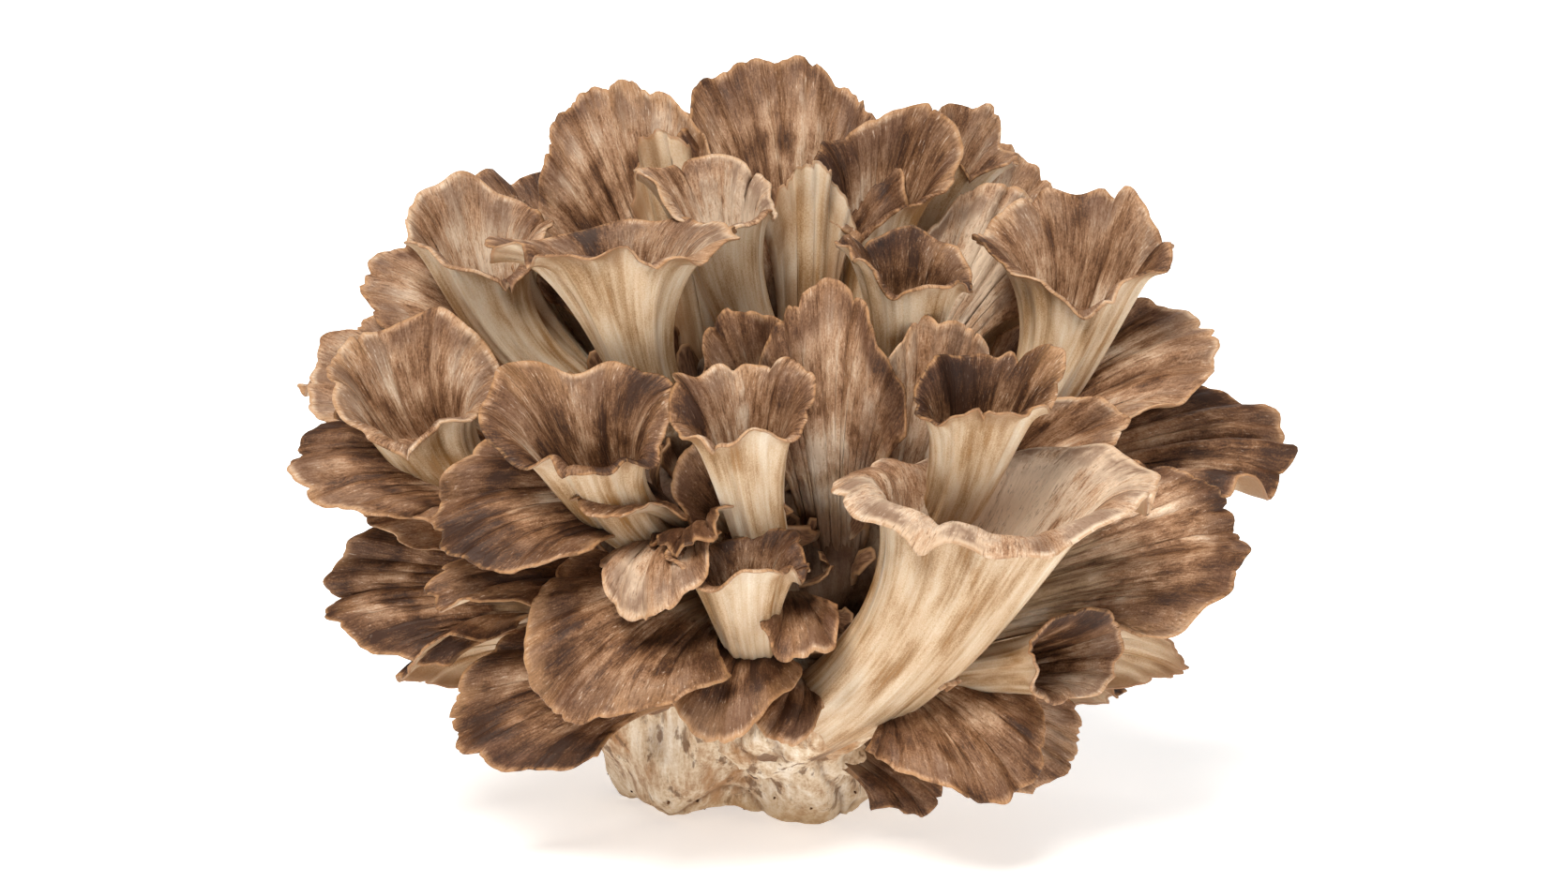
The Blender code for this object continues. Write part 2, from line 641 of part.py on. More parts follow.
main()
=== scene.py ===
"""A whole maitake (hen of the woods), standing on the foot that it was cut by.

90 fronds grow from one lumpy trunk. Each is a stalk that widens into a brown fan or closes
into a funnel, with a pleated blade, a ruffled, nicked rim and a cream underside with fine ribs.
Lengths are in millimetres until MM turns them to metres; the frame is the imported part's own.
"""

import math
import random
from types import SimpleNamespace

import bmesh
import bpy
import numpy as np
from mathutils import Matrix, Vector, noise


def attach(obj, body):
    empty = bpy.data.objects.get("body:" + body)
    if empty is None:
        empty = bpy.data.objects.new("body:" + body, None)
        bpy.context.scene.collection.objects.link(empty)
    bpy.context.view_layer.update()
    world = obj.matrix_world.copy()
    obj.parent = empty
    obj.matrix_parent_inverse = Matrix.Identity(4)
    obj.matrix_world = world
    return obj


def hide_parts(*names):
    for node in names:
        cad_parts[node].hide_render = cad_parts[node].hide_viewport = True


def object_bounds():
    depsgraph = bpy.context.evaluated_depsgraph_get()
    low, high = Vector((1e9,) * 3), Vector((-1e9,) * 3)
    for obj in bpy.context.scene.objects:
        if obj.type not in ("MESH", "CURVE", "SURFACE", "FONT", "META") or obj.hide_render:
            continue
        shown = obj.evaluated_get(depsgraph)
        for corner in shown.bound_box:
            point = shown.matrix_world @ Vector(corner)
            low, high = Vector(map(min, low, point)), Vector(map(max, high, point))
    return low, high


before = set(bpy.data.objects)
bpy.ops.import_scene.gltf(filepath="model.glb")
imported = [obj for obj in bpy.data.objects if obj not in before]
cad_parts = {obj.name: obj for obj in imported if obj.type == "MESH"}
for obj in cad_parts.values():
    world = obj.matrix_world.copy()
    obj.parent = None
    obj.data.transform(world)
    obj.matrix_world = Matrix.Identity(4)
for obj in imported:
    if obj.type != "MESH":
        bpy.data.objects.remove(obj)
CAD_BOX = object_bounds()

NODE, BODY, SLOT = "maitake", "root", "mushroom"
MM = 0.001
FINE = 1.0

# Core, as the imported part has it: half-widths at heights.
CORE_HEIGHTS = [0, 7, 18, 32, 50, 72, 94, 112, 124]
CORE_HALF_WIDTHS = [32, 39, 44, 48, 55, 64, 60, 44, 22]
CORE_DEPTH_SHARE = 0.84
CORE_TOP = 129
CORE_LEAN = (2, 3)

# Fronds
RIM_THICKNESS = 0.75
BLADE_SWELLING = 1.9  # mm that a fan's middle is thicker than its rim
WALL_SWELLING = 2.2  # mm that a funnel's wall is thicker than its rim
STALK_THICKNESS_SHARE = 0.62
CENTRELINE_STEPS = 96
THROAT = 0.50
FAN_GRIDS = {"large": (92, 34), "medium": (64, 26), "small": (44, 20)}
TRUMPET_GRIDS = {"large": (128, 34), "medium": (92, 28), "small": (64, 22)}
REAR_THINNING = 0.85  # the rear rows have this share of the facets each way
FOLDED_PLEATS = 0.35  # the folded-in fronds of the crown have this share of the pleats
FOLDED_LOBES = 0.5  # and this share of the lobes
TEAR_SHARE = 0.05  # how deep a fan's rim is torn, as a share of its reach
TEAR_DROP = 5.0  # and a funnel's rim, in mm
RING_SPACING = 9  # mm between the faint rings near a fan's rim
RIM_ROUNDNESS, RIM_BEAD = 0.42, 0.6  # how far a rim bulges: share of its thickness, and mm at most

# Uneven waves, in bands of how many and how high: crimps in shares of the reach, the others in mm.
FAN_CRIMPS = [(5, 0.012), (14, 0.004), (33, 0.0012)]
FAN_PLEATS = [(5, 0.6), (12, 0.28), (25, 0.10)]
FAN_RIM_CURLS = [(4, 0.9), (8, 0.3)]
FAN_RIDGES = [(9, 0.4), (19, 0.2)]
FUNNEL_CRIMPS = [(9, 0.012), (21, 0.004), (47, 0.0015)]
FUNNEL_PLEATS = [(6, 0.6), (14, 0.28), (31, 0.10)]
FUNNEL_RIM_CURLS = [(5, 1.1), (11, 0.6)]
FUNNEL_RIDGES = [(7, 0.45), (15, 0.22)]

# Trunk
STALK_SHOWN = 0.46  # how far up a frond the trunk's own flesh follows its stalk
STALK_PAD, STALK_SINK = 2.2, 4.6  # mm that this flesh stands proud at the root, and loses by its end
STALK_SIDES, STALK_ROWS = {"fan": 12, "trumpet": 20}, 24  # facets of a stalk's part in the trunk
TRUNK_SIDES, TRUNK_ROWS = 72, 32  # and of the core
TRUNK_VOXEL = 1.25  # mm that the skin over them all is sampled at

# Light and camera, in metres and degrees
FLOOR_HALF_WIDTH = 6.0
FLOOR_GLOW, WORLD_LIGHT = 0.50, 0.27
SUN_POWER, SUN_SOFTNESS, SUN_HEADING = 3.8, 30, (0.26, 0.56, -1.0)
LAMPS = [("fill", (0.95, -0.85, 0.45), 0.9, 3.0), ("rear", (0.25, 0.9, 0.9), 0.8, 3.0)]  # place, size, power
CAMERA_TARGET, CAMERA_DISTANCE, CAMERA_RISE = (0.0075, 0, 0.1004), 1.161, 14
CAMERA_LENS, CAMERA_SENSOR = 100, 36  # mm

# How bleached a cap is, from 0 (dark) to 1 (almost cream); others get a chance value.
PALENESS = {
    "great_front": 0.78,
    "left_upper": 0.45,
    "left_upper_behind": 0.60,
    "pale_behind_right": 0.75,
    "crown_front": 0.60,
    "crown_top": 0.30,
    "crown_left": 0.40,
    "crown_right": 0.30,
    "left_centre": 0.25,
    "great_low_left": 0.20,
    "left_middle_broad": 0.20,
    "left_low_broad": 0.15,
    "foot_left": 0.20,
    "front_left_lobe": 0.55,
    "low_right_front": 0.30,
    "right_low_broad": 0.25,
    "right_reach": 0.20,
    "low_front_centre": 0.10,
    "middle_tall": 0.45,
    "middle_tall_right": 0.60,
    "right_upper": 0.45,
    "right_shoulder": 0.50,
    "left_shoulder": 0.60,
}


# ---------------------------------------------------------------- the fronds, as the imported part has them


def fan(name, root, tip, face, half_width, **more):
    """A flat or curled frond. root is where its stalk starts, inside the core, and tip is the middle of
    its rim. face is where its brown side looks: degrees of turn from the front towards +X, and degrees of
    rise. half_width runs along the blade's own surface, so a curled fan spans less."""
    shape = dict(
        size="large",
        curl=40,  # degrees that each side wraps towards the brown side
        skew=0.0,  # above 0 the side at u = 1 wraps more, and the other side less
        bend=35,  # degrees that the blade turns back between stalk and rim
        late=1.6,  # 1 bends evenly, more bends near the rim
        spread=78,  # degrees that the fan opens to each side
        neck=0.45,  # share of the length that is stalk
        stalk=7.5,  # half width of the stalk
        flare=3.0,  # mm that the rim rolls outwards
        waves=2.4,  # how many half waves run across each side
        wave=1.6,  # and how many mm they stand at the rim
        lobes=6,  # lobes along the rim
        notch=0.05,  # and how deep the notches between them are, as a share of the reach
    )
    shape.update(more)
    shape.update(kind="fan", name=name, root=root, tip=tip, face=face, half_width=half_width)
    return SimpleNamespace(**shape)


def trumpet(name, root, mouth, face, across, deep, **more):
    """A frond whose sides have met, so that it is a funnel. mouth is the middle of its mouth, face is where
    the mouth looks, and across and deep are the mouth's half widths, level and fore and aft."""
    shape = dict(
        size="large",
        stalk=7.5,  # stalk, flare, wave, lobes and notch are as in a fan
        belly=3.0,  # 1 widens evenly, more stays slim and opens near the rim
        flare=3.0,
        waves=3,  # waves once round the mouth
        wave=2.5,
        lobes=9,
        notch=0.06,
        roll=0,  # degrees that the mouth is turned in its own plane
        lean=0.5,  # share of the length over which the stalk swings into line with the mouth
        tall=10.0,  # mm that the rim's high side stands above its low side
        high=90,  # where the rim stands highest: 90 is its far side, 0 its side towards +X
        fanned=0.16,  # how much wider the high side opens than the low one
        rolled=0.16,  # how much further the rim opens as it rolls outwards
        dent=0.20,  # how far one side of the mouth is pushed in
        lip=4.0,  # mm that the rim turns over at its low side
    )
    shape.update(more)
    shape.update(kind="trumpet", name=name, root=root, tip=mouth, face=face, across=across, deep=deep)
    return SimpleNamespace(**shape)


FRONT_FRONDS = [
    # The crown's top row
    fan("crown_top", (10, -2, 113), (2, 14, 202), (10, 14), 33,
        curl=50, skew=0.3, bend=24, spread=82, neck=0.36, lobes=7),
    fan("crown_top_fold", (12, -10, 111), (14, -9, 177), (196, 6), 10,
        curl=45, bend=-20, spread=60, size="medium", stalk=6),
    fan("crown_left", (-14, -5, 112), (-42, 8, 195), (-4, 16), 25,
        curl=50, skew=0.3, bend=20, spread=75, neck=0.42),
    fan("crown_left_fold", (-12, -8, 112), (-26, -2, 184), (190, 8), 8,
        curl=50, bend=-20, spread=55, size="small", stalk=5.5),
    trumpet("crown_front", (11, -15, 112), (-9, -30, 175), (-8, 86), 17, 11, stalk=7, tall=9, high=135),
    trumpet("crown_right", (20, 0, 112), (33, -6, 172), (12, 70), 16, 10, stalk=6.5, tall=19, high=70),
    trumpet("crown_far_right", (30, 8, 112), (60, 14, 182), (75, 58), 11, 8,
        stalk=5.5, size="small", tall=6),
    fan("crown_behind_right", (35, 8, 114), (74, 35, 172), (10, 22), 24, curl=35, bend=25, size="medium"),
    fan("pale_behind_right", (39, 1, 112), (69, -2, 169), (0, 18), 15, curl=50, bend=18, size="medium"),
    trumpet("right_shoulder", (50, -15, 88), (85, -22, 157), (14, 86), 23, 12,
        wave=3.0, lobes=10, tall=15, fanned=0.22),
    trumpet("left_shoulder", (-31, -10, 106), (-73, -15, 161), (-18, 86), 18, 10,
        stalk=7, tall=13, high=100),
    fan("left_shoulder_behind", (-26, 0, 113), (-50, 12, 168), (0, 18), 16,
        curl=30, bend=25, size="medium"),
    trumpet("upper_front_left", (-17, -25, 104), (-35, -48, 168), (20, 97), 29, 10,
        waves=2, wave=1.6, tall=3, flare=2, belly=3.4),
    trumpet("upper_front_right", (32, -15, 112), (39, -55, 162), (-12, 86), 14, 8,
        roll=-20, high=150, tall=9),
    fan("far_left_upper", (-41, 0, 106), (-102, -5, 150), (-30, 50), 17, curl=70, bend=35, size="medium"),
    # The right side
    fan("right_upper", (54, -8, 90), (120, -15, 134), (20, 50), 19, curl=45, bend=50),
    fan("right_reach", (56, -8, 80), (143, -5, 103), (-10, 55), 23, curl=25, bend=45, waves=4, wave=4),
    fan("right_small", (53, -14, 83), (93, -40, 117), (-20, 35), 12,
        curl=70, bend=20, size="small", stalk=5),
    trumpet("great_front", (0, -28, 26), (60, -80, 117), (60, 80), 30, 13,
        stalk=13, waves=2, wave=3.0, flare=4, belly=2.4, tall=8, high=50, fanned=0.10, rolled=0.30,
        dent=0.05, lip=15),
    fan("right_low_broad", (22, -28, 46), (126, -48, 90), (10, 36), 23,
        curl=30, bend=50, stalk=8, neck=0.64),
    fan("right_under_curled", (38, -22, 46), (114, -46, 56), (10, 150), 17, curl=-30, bend=40, stalk=8),
    trumpet("right_under_cup", (18, -32, 42), (82, -72, 62), (35, 20), 13, 10, stalk=7, size="medium"),
    fan("right_flap_cream", (24, -32, 44), (52, -67, 56), (20, 150), 7,
        curl=-40, bend=40, size="small", stalk=5),
    fan("right_flap_brown", (18, -38, 52), (39, -66, 64), (0, 40), 6,
        curl=50, bend=50, size="small", stalk=4.5),
    fan("right_under_far", (36, -10, 38), (98, -28, 42), (20, 145), 14, curl=-35, bend=40, size="medium"),
    fan("low_right_front", (32, -27, 44), (68, -76, 29), (12, 34), 21,
        curl=24, bend=55, spread=92, stalk=8),
    fan("low_right_behind", (32, -25, 40), (85, -42, 28), (20, 30), 20, curl=25, bend=35, size="medium"),
    fan("foot_right", (22, -26, 24), (48, -40, 13), (20, 30), 9, curl=30, bend=30, size="small", stalk=6),
    # The middle
    fan("middle_tall", (22, -38, 74), (18, -72, 157), (-10, 18), 18, curl=35, bend=20, neck=0.45),
    fan("middle_tall_right", (31, -36, 74), (50, -62, 146), (12, 20), 17, curl=45, bend=25),
    trumpet("middle_right", (30, -34, 70), (56, -78, 136), (12, 82), 16, 10, stalk=6.5, high=60, tall=9),
    trumpet("middle_left", (8, -43, 70), (-3, -80, 131), (-12, 80), 15, 10, stalk=6.5, tall=10),
    fan("middle_behind", (6, -33, 106), (-4, -60, 147), (-5, 20), 14, curl=40, bend=20, size="medium"),
    trumpet("left_centre", (-12, -40, 80), (-42, -74, 124), (-18, 80), 21, 11,
        stalk=8, tall=16, high=95, flare=4, fanned=0.22),
    fan("centre_dark", (6, -40, 78), (-12, -72, 118), (-20, 30), 13,
        curl=80, bend=20, size="small", stalk=6),
    # The left side
    trumpet("left_upper", (-41, -25, 84), (-88, -46, 126), (-24, 82), 20, 10,
        stalk=8, tall=19, high=100, flare=4, fanned=0.22),
    fan("left_upper_behind", (-48, -14, 92), (-116, -20, 128), (-30, 40), 22, curl=35, bend=40),
    fan("left_reach", (-48, -19, 83), (-119, -45, 107), (-25, 45), 20, curl=30, bend=60),
    fan("left_small", (-41, -20, 72), (-101, -40, 94), (-25, 45), 13,
        curl=55, bend=50, size="medium", stalk=5.5),
    fan("left_middle_broad", (-21, -35, 86), (-80, -74, 96), (-20, 40), 21, curl=45, bend=65),
    fan("left_middle_narrow", (-11, -40, 78), (-44, -76, 106), (-25, 60), 12,
        curl=50, bend=45, size="medium"),
    fan("left_low_broad", (-41, -20, 60), (-113, -38, 70), (-20, 30), 20, curl=25, bend=60),
    fan("left_low_small", (-26, -35, 66), (-82, -70, 80), (-25, 45), 9,
        curl=40, bend=45, size="small", stalk=5),
    fan("left_under", (-31, -20, 52), (-94, -50, 54), (-20, 148), 16, curl=-30, bend=40, size="medium"),
    fan("great_low_left", (-10, -40, 66), (-52, -92, 57), (-18, 26), 24,
        curl=30, bend=72, late=1.3, spread=92, stalk=9),
    fan("foot_left", (-17, -24, 43), (-78, -62, 39), (-18, 26), 19, curl=25, bend=60, stalk=8),
    fan("low_front_centre", (-2, -40, 58), (-12, -86, 46), (0, 30), 15,
        curl=35, bend=72, late=1.3, spread=98, size="medium", stalk=6),
    fan("low_front_small", (7, -38, 47), (6, -78, 43), (20, 25), 8,
        curl=35, bend=65, size="small", stalk=5),
    fan("front_centre_small", (7, -46, 71), (12, -88, 69), (10, 35), 10,
        curl=45, bend=35, size="small", stalk=5),
    fan("front_left_lobe", (-11, -42, 82), (-27, -92, 80), (-25, 25), 15, curl=35, bend=72, size="medium"),
    fan("front_cup_ruffle", (-5, -44, 80), (-16, -84, 98), (-20, 30), 11,
        curl=60, bend=45, size="small", stalk=5, waves=4),
    trumpet("front_centre_cup", (3, -34, 50), (-3, -80, 94), (-4, 90), 16, 8,
        stalk=6, wave=2.4, tall=4, size="medium"),
]

# The back and the sides, as rows that are filled by rule: name, height of the tips, reach from the middle,
# first and last turn, how many, half width, rise of the brown side, and every how-manieth is a funnel.
REAR_ROWS = [
    ("rear_crown", 184, 36, 112, 250, 4, 23, 22, 9),
    ("rear_upper", 160, 68, 86, 274, 7, 24, 30, 3),
    ("rear_middle", 128, 94, 94, 266, 8, 25, 36, 4),
    ("rear_low", 92, 98, 90, 270, 7, 27, 32, 5),
    ("rear_foot", 54, 86, 92, 268, 6, 24, 24, 9),
    ("rear_small", 78, 78, 100, 262, 6, 14, 30, 9),
]
REAR_WIDENING = 1.12  # how much further the rows reach sideways than their reach says
REAR_DEPTH = 0.93  # and how much less to the back
ROOT_DEPTH_SHARE = 0.55  # how far out in the core a rear stalk starts


# ---------------------------------------------------------------- shapes of the fronds


def direction(turn, rise):
    """A unit vector turned from the front (-Y) towards +X, and raised above the horizon, in degrees."""
    turn, rise = math.radians(turn), math.radians(rise)
    return np.array([math.sin(turn) * math.cos(rise), -math.cos(turn) * math.cos(rise), math.sin(rise)])


def chance(name):
    """A random source that depends on the frond's name alone."""
    return random.Random(f"maitake {name}")


def rear_fronds():
    """Fronds for the back and the sides, each nudged off its even place by a chance of its own."""
    made = []
    for row, height, reach, first, last, count, half_width, rise, funnels in REAR_ROWS:
        for k in range(count):
            name = f"{row}_{k + 1}"
            rng = chance(name + " place")
            turn = first + (last - first) * (k + 0.5) / count + rng.uniform(-8, 8)
            out = reach * rng.uniform(0.86, 1.06)
            top = height + rng.uniform(-12, 12)
            outwards = direction(turn, 0)
            tip = (out * REAR_WIDENING * outwards[0], out * REAR_DEPTH * outwards[1], top)
            base = 22 + 0.49 * height
            held = ROOT_DEPTH_SHARE * float(np.interp(base, CORE_HEIGHTS, CORE_HALF_WIDTHS))
            root = (held * outwards[0], held * CORE_DEPTH_SHARE * outwards[1], base)
            wide = half_width * rng.uniform(0.8, 1.15)
            if k % funnels == funnels - 1:
                face = (turn, 72)
                made.append(trumpet(name, root, tip, face, wide * 0.85, wide * 0.6, size="medium"))
            else:
                face = (turn + rng.uniform(-28, 28), rise + rng.uniform(-12, 12))
                bend, curl = rng.uniform(25, 55), rng.uniform(22, 60)
                made.append(fan(name, root, tip, face, wide, size="medium", bend=bend, curl=curl))
    return made


def ripples(rng, t, bands):
    """Uneven waves along t. Each band is how many waves there are over 2 units of t, and their height."""
    total = np.zeros_like(t)
    for waves, height in bands:
        for _ in range(2):
            phase, count = rng.uniform(0, 2 * math.pi), waves * rng.uniform(0.8, 1.25)
            total = total + 0.6 * height * np.sin(math.pi * count * t + phase)
    return total


def ring_ripples(rng, theta, bands):
    """The same waves round a funnel, where they have to meet their own beginning."""
    total = np.zeros_like(theta)
    for waves, height in bands:
        for _ in range(2):
            phase, count = rng.uniform(0, 2 * math.pi), max(1, round(waves * rng.uniform(0.8, 1.25)))
            total = total + 0.6 * height * np.sin(count * theta + phase)
    return total


def nicks(rng, t, first, last, count):
    """How deep the rim is torn or nibbled along t, 0 to 1, in a few narrow places."""
    depth = np.zeros_like(t)
    for _ in range(count):
        place, wide = rng.uniform(first, last), rng.uniform(0.012, 0.035) * (last - first) / 2
        depth = np.maximum(depth, rng.uniform(0.4, 1.0) * np.exp(-(((t - place) / wide) ** 2)))
    return depth


def summed(values, step):
    """The running sum of values that lie one step apart."""
    return np.concatenate([[0], np.cumsum((values[1:] + values[:-1]) / 2 * step)])


def centreline(f):
    """Arc length, place along and off the chord, and heading of the frond's middle line."""
    chord = np.linalg.norm(np.subtract(f.tip, f.root))
    share = np.linspace(0, 1.25, CENTRELINE_STEPS + 1)
    heading = -math.radians(f.bend) * share**f.late
    along, off = summed(np.cos(heading), share[1]), summed(np.sin(heading), share[1])
    end = np.array([np.interp(1, share, along), np.interp(1, share, off)])
    scale = chord / np.hypot(*end)
    turn = math.atan2(end[1], end[0])
    cos, sin = math.cos(turn), math.sin(turn)
    forward, aside = (along * cos + off * sin) * scale, (off * cos - along * sin) * scale
    return share * scale, forward, aside, heading - turn, scale


def wrapped(f, x):
    """Where points x across a fan lie once it is wrapped: sideways, and towards the brown side."""
    flat = np.linspace(-1.7, 1.7, 2 * CENTRELINE_STEPS + 1) * f.half_width
    share = flat / f.half_width
    angle = math.radians(f.curl) * share * (1 + f.skew * share)
    step = flat[1] - flat[0]
    sideways, inwards = summed(np.cos(angle), step), summed(np.sin(angle), step)
    middle = CENTRELINE_STEPS
    return np.interp(x, flat, sideways - sideways[middle]), np.interp(x, flat, inwards - inwards[middle])


def unit(vectors):
    """The same vectors, each 1 long."""
    return vectors / np.maximum(np.linalg.norm(vectors, axis=-1, keepdims=True), 1e-9)


def normals_of(points):
    """Unit normals of a grid of points, towards the brown side."""
    return unit(np.cross(np.gradient(points, axis=0), np.gradient(points, axis=1)))


def smoothstep(low, high, x):
    """0 below low, 1 above high, and an even S between them."""
    t = np.clip((x - low) / (high - low), 0, 1)
    return t * t * (3 - 2 * t)


def rows_along(count):
    """Shares along a frond, closer together towards its rim."""
    t = np.linspace(0, 1, count + 1)
    return 1 - (1 - t) ** 1.35


def fan_skins(f, across, along):
    """The brown and the cream face of a fan as grids in mm, and what its finish needs at each point."""
    u = np.linspace(-1, 1, across + 1)[:, None] + np.zeros((1, along + 1))
    v = rows_along(along)[None, :] + np.zeros((across + 1, 1))
    rng, fine = chance(f.name), chance(f.name + " fine")
    size = f.half_width / 24
    arc, forward, off, heading, length = centreline(f)
    # The outline: broad lobes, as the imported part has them, then crimps and nicks.
    warp, phase = rng.uniform(-0.07, 0.07), rng.uniform(0, math.pi)
    angle = math.radians(f.spread) * u
    scallop = np.abs(np.cos(math.pi * f.lobes / 2 * (u + warp * np.sin(math.pi * u)) + phase)) ** 0.5
    crimp = ripples(fine, u, FAN_CRIMPS)
    bite = f.lobes * fine.uniform(2.1, 2.9) / 2
    bitten = np.abs(np.cos(math.pi * bite * (u + 0.12 * np.sin(3 * u + phase)) + 2 * phase)) ** 0.8
    torn = nicks(fine, u, -0.95, 0.95, fine.randint(2, 5))
    uneven = 1 + 0.9 * np.clip(ripples(fine, u, [(2, 1.0)]), -0.9, 0.9)
    folded = f.name.endswith("fold")
    lobed = 1.2 * f.notch * (scallop - 0.75) * uneven * (FOLDED_LOBES if folded else 1.0)
    reach = 1 + lobed + 0.016 * (bitten - 0.65) + crimp - TEAR_SHARE * torn
    pivot = f.neck * length
    half = f.half_width / math.sin(math.radians(min(f.spread, 90)))
    rim_x, rim_y = half * np.sin(angle) * reach, pivot + (length - pivot) * np.cos(angle) * reach
    x = (1 - v) ** 2 * f.stalk * u + 2 * v * (1 - v) * f.stalk * u * 1.15 + v**2 * rim_x
    y = 2 * v * (1 - v) * pivot * 0.9 + v**2 * rim_y
    # The sheet, bent along its length and wrapped across it
    root, tip = np.array(f.root, float), np.array(f.tip, float)
    chord = unit(tip - root)
    side = unit(np.cross(chord, direction(*f.face)))
    up = np.cross(side, chord)
    turn = np.interp(y, arc, heading)[..., None]
    centre = root + np.interp(y, arc, forward)[..., None] * chord + np.interp(y, arc, off)[..., None] * up
    sideways, inwards = wrapped(f, x)
    raised = np.cos(turn) * up - np.sin(turn) * chord
    points = centre + sideways[..., None] * side + inwards[..., None] * raised
    # Waves, pleats that run out to the lobes, rings near the rim, and the rolled edge
    wide = chance(f.name + " waves")
    phases = [wide.uniform(0, 2 * math.pi) for _ in range(2)]
    wave = np.sin(math.pi * f.waves * u + phases[0])
    wave = wave + 0.45 * np.sin(math.pi * (f.waves * 2.1) * u + phases[1])
    pleat = 0.8 * (scallop - 0.6) + 0.4 * (bitten - 0.6)
    pleat = pleat + ripples(fine, u, FAN_PLEATS)
    rings = np.sin(2 * math.pi * v * length / RING_SPACING + 2.2 * np.sin(2.3 * u + phases[0]))
    rings = rings * smoothstep(0.45, 0.9, v)
    curl = (ripples(fine, u, FAN_RIM_CURLS) - 1.5) * smoothstep(0.78, 1, v) ** 2
    lift = -f.flare * v**4 + f.wave * wave * v**2.6
    pleated = FOLDED_PLEATS if folded else 1.0
    lift = lift + size * (pleated * pleat * v**1.4 + 0.16 * rings + curl)
    points = points + normals_of(points) * lift[..., None]
    # Thickness: an oval stalk, a fleshy middle, a thin rim
    middle = STALK_THICKNESS_SHARE * 2 * f.stalk * (1 - v) ** 1.5
    blade = (RIM_THICKNESS + BLADE_SWELLING) * (1 - (1 - v) ** 1.5) * (1 - v**3)
    middle = middle + blade + RIM_THICKNESS * v**3
    thickness = RIM_THICKNESS + np.maximum(middle - RIM_THICKNESS, 0) * np.sqrt(np.maximum(1 - u**2, 0))
    ridges = ripples(fine, u, FAN_RIDGES) * (1 - v) ** 0.5 * np.sqrt(np.maximum(1 - u**2, 0))
    out = normals_of(points)
    top = points + out * (thickness / 2 + 0.3 * ridges)[..., None]
    under = points - out * (thickness / 2 + 0.6 * ridges)[..., None]
    edge = np.minimum((1 - v) * length * 0.8, (1 - np.abs(u)) * half * np.maximum(v, 0.05) * 1.4)
    grain = np.stack([u * half * 1.1 + fine.uniform(0, 900), np.zeros_like(u), v * length], axis=-1)
    return top, under, edge, grain


def funnel_skins(f, around, along):
    """The cream outside and the brown inside of a funnel, as grids in mm that go all the way round."""
    theta = (2 * math.pi * np.arange(around) / around)[:, None] + np.zeros((1, along + 1))
    v = rows_along(along)[None, :] + np.zeros((around, 1))
    rng, fine = chance(f.name), chance(f.name + " fine")
    root, mouth, look = np.array(f.root, float), np.array(f.tip, float), direction(*f.face)
    length = np.linalg.norm(mouth - root)
    size = f.across / 22
    swing = mouth - look * length * f.lean

    def place(t):
        return (1 - t) ** 2 * root + 2 * t * (1 - t) * swing + t**2 * mouth

    def heading(t):
        way = 2 * (1 - t) * (swing - root) + 2 * t * (mouth - swing)
        return unit(unit(way) * (1 - t**2) + look * t**2)

    t = v[..., None]
    axis = heading(t)
    level = unit(np.array([1.0, 0, 0]) - axis * axis[..., :1])
    back = np.cross(axis, level)
    turned = theta + math.radians(f.roll) * v
    phases = [rng.uniform(0, 2 * math.pi) for _ in range(4)]
    scallop = np.abs(np.cos(f.lobes / 2 * (theta + 0.2 * np.sin(theta + phases[0])) + phases[1])) ** 0.7
    grown = v**f.belly
    height = np.cos(theta - math.radians(f.high))
    torn = nicks(fine, theta, 0, 2 * math.pi, fine.randint(2, 5))
    crimp = ring_ripples(fine, theta, FUNNEL_CRIMPS)
    bites = round(f.lobes * fine.uniform(2.1, 2.9)) / 2
    crimp = crimp + 0.020 * (np.abs(np.cos(bites * theta + 0.6 * np.sin(theta + phases[1]))) ** 0.8 - 0.65)
    reach = 1 + (f.notch * (scallop - 0.75) + crimp) * v**3 + 0.05 * np.sin(2 * theta + phases[2]) * v**2
    dented = np.exp(-((np.cos(theta - phases[1]) - 1) / 0.35) ** 2)
    reach = reach + f.fanned * height * v**2 + f.rolled * v**7 - f.dent * dented * v**3
    pleat = 0.8 * (scallop - 0.6) + ring_ripples(fine, theta, FUNNEL_PLEATS)
    swell = size * pleat * v**1.4
    ridges = ring_ripples(fine, theta, FUNNEL_RIDGES) * (1 - v) ** 0.7
    wide = (f.stalk + (f.across - f.stalk) * grown) * reach + swell + ridges
    thick = STALK_THICKNESS_SHARE * f.stalk * 1.25
    deep = (thick + (f.deep - thick) * grown) * reach + swell + ridges
    wave = np.sin(f.waves * theta + phases[3]) + 0.4 * np.sin(2 * f.waves * theta + phases[0])
    lift = f.wave * wave * v**2.6 - f.flare * v**6 + f.tall * (0.4 + 0.6 * height) * v**2
    lift = lift - f.lip * (0.7 - 0.3 * height) * np.clip((v - 0.86) / 0.14, 0, 1) ** 2
    curl = ring_ripples(fine, theta, FUNNEL_RIM_CURLS) * smoothstep(0.84, 1, v) ** 2
    lift = lift + (curl - TEAR_DROP * torn * v**8) * size
    outer = place(t) + (wide * np.cos(turned))[..., None] * level
    outer = outer + (deep * np.sin(turned))[..., None] * back + lift[..., None] * axis
    outwards = normals_of(np.concatenate([outer[-1:], outer, outer[:1]]))[1:-1]
    wall = RIM_THICKNESS + WALL_SWELLING * (1 - v**2.5)
    inner = outer - outwards * wall[..., None]
    edge = (1 - v) * length * 0.8
    mean = (f.across + f.deep) / 2
    apart = fine.uniform(0, 900)
    grain = np.stack([mean * np.cos(theta) + apart, mean * np.sin(theta), v * length], axis=-1)
    return outer, inner, edge, grain, place(np.array(THROAT - 0.10))


